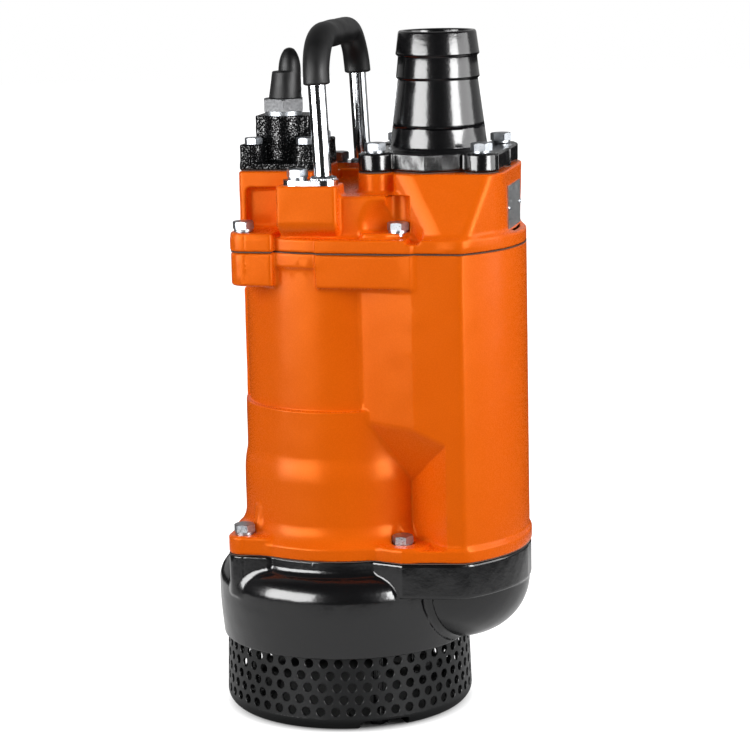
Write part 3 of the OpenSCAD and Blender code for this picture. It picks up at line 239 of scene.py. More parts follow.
def settle(distance: Distance, points: Array, step: float) -> Array:
    """Moves points onto the surface in two rounds.

    Args:
        distance: The shape.
        points: Points near its surface.
        step: Longest move of one round.

    Returns:
        The moved points.
    """
    weakest = 0.2
    for _ in range(2):
        gap = measure(distance, points)
        way = slope(distance, points)
        move = -gap[:, None] * way / np.maximum((way * way).sum(1), weakest)[:, None]
        length = np.linalg.norm(move, axis=1, keepdims=True)
        points = points + move * np.minimum(1, step / np.maximum(length, 1e-9))
    return points


def sampled(distance: Distance, low: Array, high: Array, step: float) -> Array:
    """Grid of distances, with fine values only in the blocks that the surface may cross.

    Args:
        distance: The shape.
        low: Lowest corner of the grid.
        high: Highest corner of the grid.
        step: Size of one voxel.

    Returns:
        The grid.
    """
    half_diagonal, slack = 0.87, 1.3
    count = np.ceil((high - low) / (step * BLOCK)).astype(int) + 1
    middle = (BLOCK - 1) / 2
    axes = [low[k] + (np.arange(count[k]) * BLOCK + middle) * step for k in range(3)]
    centres = np.stack(np.meshgrid(*axes, indexing="ij"), -1).reshape(-1, 3).astype(np.float32)
    coarse = measure(distance, centres).reshape(count)
    near = np.argwhere(np.abs(coarse) < slack * step * (BLOCK * half_diagonal + 1))
    grid = np.repeat(np.repeat(np.repeat(coarse, BLOCK, 0), BLOCK, 1), BLOCK, 2)
    offsets = np.stack(np.meshgrid(*[np.arange(BLOCK)] * 3, indexing="ij"), -1).reshape(-1, 3)
    points = (low + (near[:, None, :] * BLOCK + offsets[None]) * step).reshape(-1, 3).astype(np.float32)
    fine = measure(distance, points).reshape(-1, BLOCK, BLOCK, BLOCK)
    blocks = grid.reshape(count[0], BLOCK, count[1], BLOCK, count[2], BLOCK).transpose(0, 2, 4, 1, 3, 5)
    blocks[tuple(near.T)] = fine
    return grid


def skinned(grid: Array, low: Array, step: float) -> tuple[Array, Array]:
    """Skin of a grid of distances as one vertex per crossed cell and one quad per crossed edge.

    Args:
        grid: The distances.
        low: Lowest corner of the grid.
        step: Size of one voxel.

    Returns:
        Vertices and quads.
    """
    inside = grid < 0
    sides = (slice(None, -1), slice(1, None))
    count = sum(inside[a, b, c].astype(np.uint8) for a in sides for b in sides for c in sides)
    cells = np.argwhere((count > 0) & (count < 8))
    index = np.full(count.shape, -1, np.int32)
    index[tuple(cells.T)] = np.arange(len(cells))
    total, hits = np.zeros((len(cells), 3)), np.zeros(len(cells))
    quads = []
    unit = np.eye(3, dtype=int)
    for axis in range(3):
        b, c = (axis + 1) % 3, (axis + 2) % 3
        for corner in (0 * unit[b], unit[b], unit[c], unit[b] + unit[c]):
            v0 = grid[tuple((cells + corner).T)]
            v1 = grid[tuple((cells + corner + unit[axis]).T)]
            crossed = (v0 < 0) != (v1 < 0)
            place = np.tile(corner.astype(float), (len(cells), 1))
            place[:, axis] = np.where(crossed, v0 / np.where(crossed, v0 - v1, 1), 0)
            total += place * crossed[:, None]
            hits += crossed
        first, second = [slice(None)] * 3, [slice(None)] * 3
        first[axis], second[axis] = sides
        edges = np.argwhere(inside[tuple(first)] != inside[tuple(second)])
        edges = edges[(edges[:, b] > 0) & (edges[:, c] > 0)]
        around = [edges - unit[b] - unit[c], edges - unit[c], edges, edges - unit[b]]
        quad = np.stack([index[tuple(e.T)] for e in around], 1)
        leaving = inside[tuple(edges.T)]
        quad[~leaving] = quad[~leaving][:, ::-1]
        quads.append(quad)
    return low + (cells + total / hits[:, None]) * step, np.concatenate(quads)


def mesh_object(name: str, vertices: Array, faces: Quads | Array) -> Thing:
    """New object from points in millimetres.

    Args:
        name: The object's name.
        vertices: Points in millimetres.
        faces: Corner numbers of each face.

    Returns:
        The linked object, smooth shaded.
    """
    mesh = bpy.data.meshes.new(name)
    points = (np.asarray(vertices) * MM).tolist()
    mesh.from_pydata(points, [], faces.tolist() if isinstance(faces, np.ndarray) else faces)
    mesh.polygons.foreach_set("use_smooth", np.ones(len(mesh.polygons), bool))
    mesh.update()
    made = bpy.data.objects.new(name, mesh)
    bpy.context.scene.collection.objects.link(made)
    return made


def bake(made: Thing) -> None:
    """Replaces an object's mesh by its mesh with the modifiers applied.

    Args:
        made: The object.
    """
    graph = bpy.context.evaluated_depsgraph_get()
    final = bpy.data.meshes.new_from_object(made.evaluated_get(graph))
    old, made.data = made.data, final
    made.modifiers.clear()
    bpy.data.meshes.remove(old)
    final.name = made.name


def cast(name: str, distance: Distance, low: Point, high: Point, step: float, faces: int) -> Thing:
    """Builds a casting from its distance function, with exact normals.

    Args:
        name: The object's name.
        distance: The shape.
        low: Lowest corner of its box.
        high: Highest corner of its box.
        step: Size of one voxel.
        faces: Number of triangles to keep.

    Returns:
        The finished object.
    """
    # An odd margin keeps flat faces off the grid's own planes
    start = np.array(low, np.float32) - step * 2.37
    end = np.array(high, np.float32) + step * 2
    vertices, quads = skinned(sampled(distance, start, end, step), start, step)
    vertices = settle(distance, vertices.astype(np.float32), step * 0.6)
    made = mesh_object(name, vertices, quads)
    thin = made.modifiers.new("thin", "DECIMATE")
    thin.ratio = min(1.0, faces / (len(quads) * 2))
    bake(made)
    mesh = made.data
    flat = np.empty(len(mesh.vertices) * 3, np.float32)
    mesh.vertices.foreach_get("co", flat)
    points = settle(distance, flat.reshape(-1, 3) / MM, step * 0.5)
    mesh.vertices.foreach_set("co", (points * MM).ravel())
    normals = slope(distance, points)
    normals /= np.maximum(np.linalg.norm(normals, axis=1, keepdims=True), 1e-6)
    mesh.update()
    mesh.normals_split_custom_set_from_vertices(normals.tolist())
    return made


def strip(first: int, second: int, size: int) -> Quads:
    """Quads between two closed rows of points, from the number of each row's first point."""
    return [(first + k, first + (k + 1) % size, second + (k + 1) % size, second + k) for k in range(size)]


def turned(name: str, profile: Sequence[Pair], centre: Pair, sides: int, closed: bool = True) -> Thing:
    """Turned piece about a vertical axis.

    Args:
        name: The object's name.
        profile: Radius and height of each ring.
        centre: X and Y of the axis.
        sides: Number of steps round the axis.
        closed: Whether the last ring meets the first.

    Returns:
        The object.
    """
    angles = np.arange(sides) * (2 * math.pi / sides)
    rings = [np.stack([centre[0] + r * np.cos(angles), centre[1] + r * np.sin(angles), np.full(sides, z)], 1)
             for r, z in profile]
    faces = []
    for i in range(len(profile) if closed else len(profile) - 1):
        faces += strip(i * sides, ((i + 1) % len(profile)) * sides, sides)
    return mesh_object(name, np.concatenate(rings), faces)


def swept(name: str, path: Array, radii: Array) -> Thing:
    """Tube along a path, closed at both ends.

    Args:
        name: The object's name.
        path: Points of the centreline.
        radii: One row of radii round each point.

    Returns:
        The object.
    """
    count, sides = radii.shape
    tangent = np.gradient(path, axis=0)
    tangent /= np.linalg.norm(tangent, axis=1, keepdims=True)
    side = np.cross(tangent, (1.0, 0.0, 0.0))
    side /= np.linalg.norm(side, axis=1, keepdims=True)
    up = np.cross(side, tangent)
    angle = np.arange(sides) * (2 * math.pi / sides)
    ring = side[:, None] * np.cos(angle)[None, :, None] + up[:, None] * np.sin(angle)[None, :, None]
    vertices = (path[:, None] + ring * radii[..., None]).reshape(-1, 3)
    faces = [quad for i in range(count - 1) for quad in strip(i * sides, (i + 1) * sides, sides)]
    faces.append(tuple(reversed(range(sides))))
    faces.append(tuple(range((count - 1) * sides, count * sides)))
    return mesh_object(name, vertices, faces)


def soften(made: Thing, width: float) -> None:
    """Gives an object's sharp edges a small bevel.

    Args:
        made: The object.
        width: Width of the bevel in millimetres.
    """
    soft = made.modifiers.new("edges", "BEVEL")
    soft.width = width * MM
    soft.segments = 2
    soft.limit_method = "ANGLE"
    soft.angle_limit = math.radians(28)
    soft.harden_normals = True


# ---------- Finishes ----------


def linear(code: str) -> tuple[float, float, float, float]:
    """Linear colour of an sRGB hex code such as #e5640f."""
    parts = [int(code[i : i + 2], 16) / 255 for i in (1, 3, 5)]
    return (*(c / 12.92 if c <= 0.04045 else ((c + 0.055) / 1.055) ** 2.4 for c in parts), 1.0)


def add(tree: Tree, kind: str, values: Values | None = None, **settings: object) -> bpy.types.Node:
    """Adds one node.

    Args:
        tree: The node tree.
        kind: Blender's name of the node's type.
        values: For each input, its value or the output that feeds it.
        settings: The node's own properties.

    Returns:
        The node.
    """
    node = tree.nodes.new(kind)
    for key, value in settings.items():
        setattr(node, key, value)
    for key, value in (values or {}).items():
        if isinstance(value, Socket):
            tree.links.new(value, node.inputs[key])
        else:
            node.inputs[key].default_value = value
    return node


def blank(name: str) -> tuple[bpy.types.Material, Tree, Socket]:
    """New material without nodes.

    Args:
        name: The material's name.

    Returns:
        The material, its tree and the object coordinates in metres.
    """
    material = bpy.data.materials.new(name)
    material.use_nodes = True
    tree = material.node_tree
    tree.nodes.clear()
    return material, tree, add(tree, "ShaderNodeTexCoord").outputs["Object"]


def shaded(tree: Tree, values: Values) -> None:
    """Ends a material's tree with the shader that takes the given values."""
    shader = add(tree, "ShaderNodeBsdfPrincipled", values)
    add(tree, "ShaderNodeOutputMaterial", {"Surface": shader.outputs["BSDF"]})


@dataclass(frozen=True)
class Skin:
    """What every finish shares: two tones in soft clouds and a fine grain. Sizes are in millimetres."""

    name: str
    colour: str
    second: str
    roughness: float
    grain: float = 1.1
    grain_height: float = 0.03
    stretch: Point = (1.0, 1.0, 1.0)

    def patterns(self, tree: Tree, coords: Socket, cloud: float, octaves: Pair,
                 rough: float) -> tuple[Socket, Socket, Socket]:
        """Adds the grain, the clouds and the tone that follows the clouds.

        Args:
            tree: The material's tree.
            coords: The object coordinates in metres.
            cloud: Size of a cloud.
            octaves: Detail of the grain and of the clouds.
            rough: Roughness of the grain's octaves.

        Returns:
            The grain, the clouds and the tone.
        """
        drawn = add(tree, "ShaderNodeMapping", {"Vector": coords, "Scale": self.stretch}).outputs["Vector"]
        noises = ((drawn, self.grain, octaves[0], rough), (coords, cloud, octaves[1], 0.5))
        grain, clouds = (
            add(tree, "ShaderNodeTexNoise", {"Vector": vector, "Scale": 1 / (size * MM), "Detail": detail,
                                             "Roughness": octave}).outputs["Fac"]
            for vector, size, detail, octave in noises)
        tone = add(tree, "ShaderNodeMix", {"Factor": clouds, "A": linear(self.colour),
                                           "B": linear(self.second)}, data_type="RGBA")
        return grain, clouds, tone.outputs["Result"]

    def shine(self, tree: Tree, pattern: Socket, swing: Pair) -> Socket:
        """Adds a roughness that a pattern varies.

        Args:
            tree: The material's tree.
            pattern: The pattern.
            swing: Lowest and highest factor on the roughness.

        Returns:
            The roughness.
        """
        varied = add(tree, "ShaderNodeMapRange", {"Value": pattern, "From Min": 0.3, "From Max": 0.7,
                                                  "To Min": self.roughness * swing[0],
                                                  "To Max": self.roughness * swing[1]})
        return varied.outputs["Result"]

    def bumped(self, tree: Tree, height: Socket) -> Socket:
        """Adds the grain's bumps from their pattern."""
        bump = add(tree, "ShaderNodeBump", {"Height": height, "Distance": self.grain_height * MM * 2})
        return bump.outputs["Normal"]


@dataclass(frozen=True)
class CastPaint(Skin):
    """Paint over a sand casting: it follows the sand's grain and has its own orange peel."""

    coat: float = 0.0
    coat_roughness: float = 0.1
    peel: float = 3.0
    peel_height: float = 0.03
    patch: float = 0.35
    ior: float = 1.5
    speckle: float = 0.0
    gloss: float = 0.5
    tint: str = "#ffffff"

    def material(self) -> bpy.types.Material:
        """Builds the material.

        Returns:
            The material.
        """
        material, tree, coords = blank(self.name)
        grain, clouds, tone = self.patterns(tree, coords, cloud=55, octaves=(3.0, 3.0), rough=0.6)
        peel = add(tree, "ShaderNodeTexNoise", {"Vector": coords, "Scale": 1 / (self.peel * MM),
                                                "Detail": 2.0}).outputs["Fac"]
        patch = add(tree, "ShaderNodeMapRange", {"Value": clouds, "From Min": 0.35, "From Max": 0.65,
                                                 "To Min": 1 - self.patch, "To Max": 1 + self.patch})
        height = add(tree, "ShaderNodeMath", {0: grain, 1: patch.outputs["Result"]}, operation="MULTIPLY")
        coat = add(tree, "ShaderNodeBump", {"Height": peel, "Distance": self.peel_height * MM * 2})
        paint = add(tree, "ShaderNodeBump", {"Height": height.outputs[0], "Normal": coat.outputs["Normal"],
                                             "Distance": self.grain_height * MM * 2}).outputs["Normal"]
        # The sand's highest grains catch the light, and the paint between them stays dark
        spark = add(tree, "ShaderNodeMapRange", {"Value": grain, "From Min": 0.53, "From Max": 0.62,
                                                 "To Min": 0.01, "To Max": self.speckle}).outputs["Result"]
        shaded(tree, {
            "Base Color": tone, "Roughness": self.shine(tree, grain, (0.82, 1.18)), "Normal": paint,
            "IOR": self.ior, "Specular Tint": linear(self.tint),
            "Specular IOR Level": spark if self.speckle else self.gloss,
            "Coat Weight": self.coat, "Coat Roughness": self.coat_roughness,
            "Coat Normal": coat.outputs["Normal"]})
        return material


@dataclass(frozen=True)
class Metal(Skin):
    """Bare or plated metal with marks of how it was made."""

    metallic: float = 1.0

    def material(self) -> bpy.types.Material:
        """Builds the material.

        Returns:
            The material.
        """
        material, tree, coords = blank(self.name)
        marks, _, tone = self.patterns(tree, coords, cloud=9, octaves=(4.0, 3.0), rough=0.6)
        shaded(tree, {"Base Color": tone, "Roughness": self.shine(tree, marks, (0.7, 1.35)),
                      "Normal": self.bumped(tree, marks), "Metallic": self.metallic})
        return material


@dataclass(frozen=True)
class Moulded(Skin):
    """Moulded rubber, fibre or ceramic: a dull skin with a fine grain."""

    ior: float = 1.5

    def material(self) -> bpy.types.Material:
        """Builds the material.

        Returns:
            The material.
        """
        material, tree, coords = blank(self.name)
        grain, bloom, tone = self.patterns(tree, coords, cloud=14, octaves=(3.0, 4.0), rough=0.5)
        shaded(tree, {"Base Color": tone, "Roughness": self.shine(tree, bloom, (0.85, 1.15)),
                      "Normal": self.bumped(tree, grain), "IOR": self.ior})
        return material


class Finish(Enum):
    """Every finish of the pump. A pattern too fine to show is drawn coarser, and its comment says so."""

    # Orange two-pack paint sprayed on sand-cast metal: an even colour, a soft gloss that takes the paint's
    # own warmth, and slight orange peel. The peel is really about 2 mm and is drawn twice as coarse.
    ORANGE = CastPaint("orange_paint_on_casting", "#f0680c", "#e86006", 0.27, peel=4.2, peel_height=0.045,
                       grain=1.3, grain_height=0.016, ior=1.45, gloss=0.42, tint="#ff9a4c")
    # Black enamel dipped on cast iron: deep gloss over a mottled, sandy wall. Peel drawn twice as coarse.
    BLACK = CastPaint("black_enamel_on_cast_iron", "#0d0d0e", "#131315", 0.2, coat=0.3, coat_roughness=0.07,
                      peel=4.5, peel_height=0.045, grain=1.6, grain_height=0.02, patch=0.25)
    # Black enamel over a coarse iron casting: the sand's highest grains glitter and the rest stays black.
    # Sand grain is really about 0.5 mm and is drawn three times as coarse.
    COARSE = CastPaint("black_enamel_on_coarse_casting", "#0b0c0d", "#111213", 0.24, peel=2.4,
                       peel_height=0.1, grain=1.6, grain_height=0.1, patch=0.3, speckle=0.9)
    # Black powder coat on pressed steel sheet: satin, even and dark.
    BASKET = CastPaint("black_powder_coat_on_sheet", "#0e0f10", "#141516", 0.38, peel=1.8, peel_height=0.012,
                       grain=0.8, grain_height=0.006, patch=0.2, gloss=0.25)
    # Grey primer inside castings that nobody sees: flat and chalky.
    PRIMER = CastPaint("grey_primer_on_casting", "#55575a", "#66686b", 0.7, grain_height=0.05)
    # Bright zinc plate on forged bolts: pale, slightly cloudy. The forging's scale marks are drawn coarser.
    ZINC = Metal("zinc_plate_on_steel", "#b4b7bb", "#85898e", 0.34, grain=1.5, grain_height=0.01)
    # Zinc die casting left as it came: mid-grey and dull, because its oxide hides most of the metal.
    CAST_NUT = Metal("raw_zinc_die_casting", "#626365", "#565759", 0.55, grain=1.6, grain_height=0.02,
                     metallic=0.3)
    # Drawn and polished steel bar: mirror-like with fine lines along it, drawn coarser than they are.
    BAR = Metal("polished_drawn_steel", "#d6d8da", "#b9bcc0", 0.14, grain=1.2, grain_height=0.004,
                stretch=(1.0, 1.0, 0.05))
    # Turned steel: silky, with rings of tool marks. A feed of 0.2 mm is drawn four times as coarse.
    STEEL = Metal("turned_steel", "#b4b7bb", "#94989d", 0.32, grain=0.8, grain_height=0.006,
                  stretch=(0.2, 0.2, 1.0))
    # Stacked electrical sheet: dull blue-grey with the lines of 0.5 mm sheets, drawn 1 mm apart.
    LAMINATION = Metal("stacked_electrical_sheet", "#7c8188", "#5d6268", 0.45, grain=1.0, grain_height=0.02,
                       stretch=(0.02, 0.02, 1.0))
    # Die-cast aluminium: pale and slightly pebbled.
    ALUMINIUM = Metal("die_cast_aluminium", "#c6c8ca", "#adb0b3", 0.4, grain=2.2, grain_height=0.02)
    # Enamelled copper wire of about 1 mm under varnish: warm brown-red and glossy.
    WINDING = Metal("varnished_copper_wire", "#b5622f", "#8c4520", 0.35, grain=1.4, grain_height=0.1,
                    stretch=(0.25, 0.25, 1.0), metallic=0.7)
    # Turned brass: yellow with fine rings, drawn coarser than they are.
    BRASS = Metal("turned_brass", "#c9a85c", "#a98a45", 0.3, grain=0.9, grain_height=0.006,
                  stretch=(0.2, 0.2, 1.0))
    # Stamped aluminium plate: matte silver with brushing along it. Real 0.1 mm scratches are drawn coarser.
    PLATE = Metal("brushed_aluminium_plate", "#c8cacb", "#b4b6b8", 0.38, grain=0.6, grain_height=0.004,
                  stretch=(1.0, 0.06, 1.0))
    # Moulded black rubber: deep black with a waxy half-gloss.
    RUBBER = Moulded("moulded_rubber", "#101011", "#171718", 0.45, grain=0.7, grain_height=0.012, ior=1.33)
    # Pressed fibre gasket with the orange spray over its edge: dark brown and dull.
    FIBRE = Moulded("pressed_fibre_gasket", "#4a3120", "#5a3c27", 0.8, grain=0.5, grain_height=0.03)
    # Sintered seal faces: dense ceramic and carbon, lapped to a dull shine.
    CERAMIC = Moulded("lapped_ceramic", "#e4e0d6", "#d6d2c8", 0.18, grain=0.6, grain_height=0.002, ior=1.76)
    CARBON = Moulded("lapped_carbon", "#1e1f21", "#292a2c", 0.35, grain=0.6, grain_height=0.004)

    def material(self) -> bpy.types.Material:
        """The finish's material, made the first time that it is asked for."""
        return bpy.data.materials.get(self.value.name) or self.value.material()


# ---------- Pieces ----------


@dataclass
class Assembly:
    """A group of pieces on the pump's body."""

    def place(self, made: Thing, finish: Finish, slot: str, *nodes: str) -> None:
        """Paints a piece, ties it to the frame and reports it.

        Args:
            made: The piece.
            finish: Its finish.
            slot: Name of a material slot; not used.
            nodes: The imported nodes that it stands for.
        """
        made.data.materials.clear()
        made.data.materials.append(finish.material())
        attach(made, BODY)
        if nodes:
            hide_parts(*nodes)
        log.info("%s: %d faces, %s", made.name, len(made.data.polygons), finish.value.name)


class Front(Enum):
    """Front edges of the side body: corners from the left, radius of the plan's edges, growth of its end."""

    ABOVE_FUNNEL = (((38.0, 83.2), (91.0, 95.0)), 2.0, 0.0)
    UNDER_FUNNEL = (((80.0, 57.5), (121.5, 95.0)), 2.0, 0.0)
    WATER_WAY = (((97.0, 54.0), (134.0, 88.0)), 6.0, -7.0)
    LOWER_SEAM = (((45.0, 95.0), (79.0, 105.0), (139.5, 97.0)), 7.0, 1.5)


@dataclass(frozen=True)
class SideBody:
    """Plans that the castings share, for the half with y over zero.

    Bolts are given as distances to the left and to the front of the shaft. Arms and roots join the ears to
    the wall.
    """

    end_x: float = 58.0
    end_r: float = 124.5
    foot_bolt: Pair = (82.0, 80.0)
    foot_ear_r: float = 15.5
    cover_bolt: Pair = (72.8, 75.3)
    cover_ear_r: float = 15.0
    arm_len: float = 29.0
    arm_y: float = 20.0
    root_x: float = 4.0
    root_y: float = 36.0
    lug_corners: Line = ((-1.0, 98.0), (91.0, 98.0), (95.0, 94.0))

    def plan(self, x: Array, y: Array, front: Front) -> Array:
        """Plan of the round end beside the motor, cut off by a front edge.

        Args:
            x: First coordinates.
            y: Second coordinates.
            front: The front edge.

        Returns:
            Distances to the plan.
        """
        corners, r, grow = front.value
        left, right_y = corners[0][0], corners[-1][1]
        cut = outline(x, y, [(left, -PAST), *corners, (FAR, right_y), (FAR, -PAST)])
        return clip(disc(x, y, self.end_x, 0, self.end_r + grow), cut, r)

    def ear(self, x: Array, y: Array, at: Pair, r: float) -> Array:
        """Plan of a left bolting ear that runs back into the wall.

        Args:
            x: First coordinates.
            y: Second coordinates.
            at: How far the bolt is to the left and to the front of the shaft.
            r: Radius of the ear.

        Returns:
            Distances to the plan.
        """
        bx, by = at
        arm = block(x, y, -bx, -bx + self.arm_len, self.arm_y, by + r, 4)
        root = block(x, y, -bx - r, -bx + self.root_x, self.root_y, by)
        return join(join(disc(x, y, -bx, by, r), arm), root)

    def foot_ear(self, x: Array, y: Array) -> Array:
        """Plan of a left ear at the lower seam."""
        return self.ear(x, y, self.foot_bolt, self.foot_ear_r)

    def cover_ear(self, x: Array, y: Array) -> Array:
        """Plan of a left ear at the upper seam."""
        return self.ear(x, y, self.cover_bolt, self.cover_ear_r)

    def lug(self, x: Array, y: Array) -> Array:
        """Plan of the long bolting lug over the flank."""
        left, right = self.lug_corners[0][0], self.lug_corners[-1][0]
        return outline(x, y, [(left, -PAST), *self.lug_corners, (right, -PAST)])


@dataclass
class MotorCasing(Assembly):
    """Motor casing with its side water passage, one sand casting.

    The web props the left foot ears: its profile is drawn outwards from the shaft, along web_way. Spots are
    the faces cut for the bolt heads, with their tops for the right and left bolts over the foot.
    """

    side: SideBody = SideBody()
    half: float = 112.0
    end: float = 186.0
    foot: float = 165.4
    top: float = 459.4
    wall_r: float = 91.5
    step_r: float = 95.2
    step_top: float = 308.0
    skirt_r: float = 98.4
    skirt_top: float = 266.0
    skirt_bend: float = 246.0
    skirt_fall: float = 0.24
    band_r: float = 94.0
    band_foot: float = 446.0
    flare_r: float = 109.0
    flare_top: float = 198.3
    flare_sweep: float = 26.0
    pad_half: float = 14.0
    pad_top: float = 415.0
    funnel_at: Point = (91.0, 95.0, 292.6)
    funnel_normal: Point = (-0.232, 0.834, -0.5)
    flange_h: float = 12.0
    bolt_at: Pair = (75.0, 80.0)
    ledge_r: float = 26.0
    ledge_h: float = 13.5
    ear_h: float = 18.0
    web_way: Pair = (-0.7158, 0.6983)
    web_profile: Line = ((80.0, 178.0), (108.0, 178.0), (104.5, 184.0), (98.5, 208.0), (80.0, 212.0))
    web_half: float = 4.5
    lug_foot: float = 427.0
    spot_r: float = 11.0
    spot_top: Pair = (32.0, 36.0)
    bore_r: float = 82.05
    seat_r: float = 86.0
    seat_z: Pair = (100.0, 208.0)
    bracket_z: Pair = (447.4, 500.0)

    def barrel(self, x: Array, y: Array, z: Array) -> Array:
        """Distance to the round wall with its step, skirt, upper band, flared foot and flat pad.

        Args:
            x: First coordinates.
            y: Second coordinates.
            z: Heights.

        Returns:
            Distances to the round wall.
        """
        r = np.hypot(x, y)
        step = prism(r - self.step_r, z, self.foot, self.step_top, 1.2)
        # Turns the radial distance to a slanted wall into the true one
        slant = 0.972
        cone = (r - self.skirt_r + (z - self.skirt_bend) * self.skirt_fall) * slant
        skirt = clip(prism(r - self.skirt_r, z, self.foot, self.skirt_top), cone, 2)
        band = prism(r - self.band_r, z, self.band_foot, self.top, 1.6)
        sweep = np.hypot(r - (self.skirt_r + self.flare_sweep), z - (self.flare_top + 0.05))
        flare = clip(prism(r - self.flare_r, z, self.foot, self.flare_top), self.flare_sweep - sweep, 1.5)
        pad = clip(r - self.step_r, between(y, -self.pad_half, self.pad_half), 3)
        pad = clip(prism(pad, z, self.step_top, self.pad_top, 3), x)
        wall = prism(r - self.wall_r, z, self.foot, self.top, 1)
        return joined(wall, (step, 1.2), (skirt, 1), (band, 4), (flare, 0), (pad, 3))

    def passage(self, x: Array, y: Array, z: Array) -> Array:
        """Distance to the outside of the water passage, which widens over the funnel's slanted face.

        Args:
            x: First coordinates.
            y: Second coordinates.
            z: Heights.

        Returns:
            Distances to the passage.
        """
        low = prism(self.side.plan(x, y, Front.UNDER_FUNNEL), z, self.foot, self.top)
        funnel = plane((x, y, z), self.funnel_at, self.funnel_normal)
        high = clip(clip(self.side.plan(x, y, Front.ABOVE_FUNNEL), funnel, 1.5), z - self.top)
        return np.minimum(low, high)

    def distance(self, points: Array) -> Array:
        """Works out the distance to the casting.

        Args:
            points: Rows of three coordinates.

        Returns:
            Distances, negative inside.
        """
        x, y, z = points[:, 0], np.abs(points[:, 1]), points[:, 2]
        side, foot, top = self.side, self.foot, self.top
        seam = side.plan(x, y, Front.LOWER_SEAM)
        flange = prism(seam, z, foot, foot + self.flange_h, 2.2)
        ledge = prism(disc(x, y, *self.bolt_at, self.ledge_r), z, foot, foot + self.ledge_h, 1.5)
        ear = prism(side.foot_ear(x, y), z, foot, foot + self.ear_h, 2.5)
        wx, wy = self.web_way
        web = outline(x * wx + y * wy, z, self.web_profile)
        web = clip(web, np.abs(x * wy - y * wx) - self.web_half, 3)
        # Clipped by itself, the lug's plan shrinks by 0.9 mm all round
        lug = side.lug(x, y)
        lug = prism(clip(lug, lug, 3), z, self.lug_foot, top, 3)
        upper_ear = prism(side.cover_ear(x, y), z, self.lug_foot, top, 3)
        wall = joined(self.barrel(x, y, z), (self.passage(x, y, z), 2.5), (flange, 5),
                      (clip(ledge, seam, 2), 5), (ear, 5), (web, 6), (lug, 5), (upper_ear, 5))
        wall = clip(wall, between(z, foot, top), 0.8)
        left_x, left_y = side.foot_bolt
        right_top, left_top = self.spot_top
        right = prism(disc(x, y, *self.bolt_at, self.spot_r), z, foot + self.flange_h, foot + right_top)
        left = prism(disc(x, y, -left_x, left_y, self.spot_r), z, foot + self.ear_h, foot + left_top)
        wall = clip(wall, -join(right, left), 1)
        r = np.hypot(x, y)
        hollows = (r - self.bore_r, prism(r - self.seat_r, z, *self.seat_z),
                   prism(r - self.seat_r, z, *self.bracket_z), side.plan(x, y, Front.WATER_WAY))
        wall = clip(wall, -np.minimum.reduce(hollows), 0.8)
        return wall + ripple((x, y, z), size=46, height=0.16)

    def build(self) -> None:
        """Builds and paints the casting."""
        low, high = (-self.half, -self.half, self.foot), (self.end, self.half, self.top)
        made = cast("motor_casing_shell", self.distance, low, high, step=1.6, faces=80000)
        self.place(made, Finish.ORANGE, "orange_casting", "motor_casing")


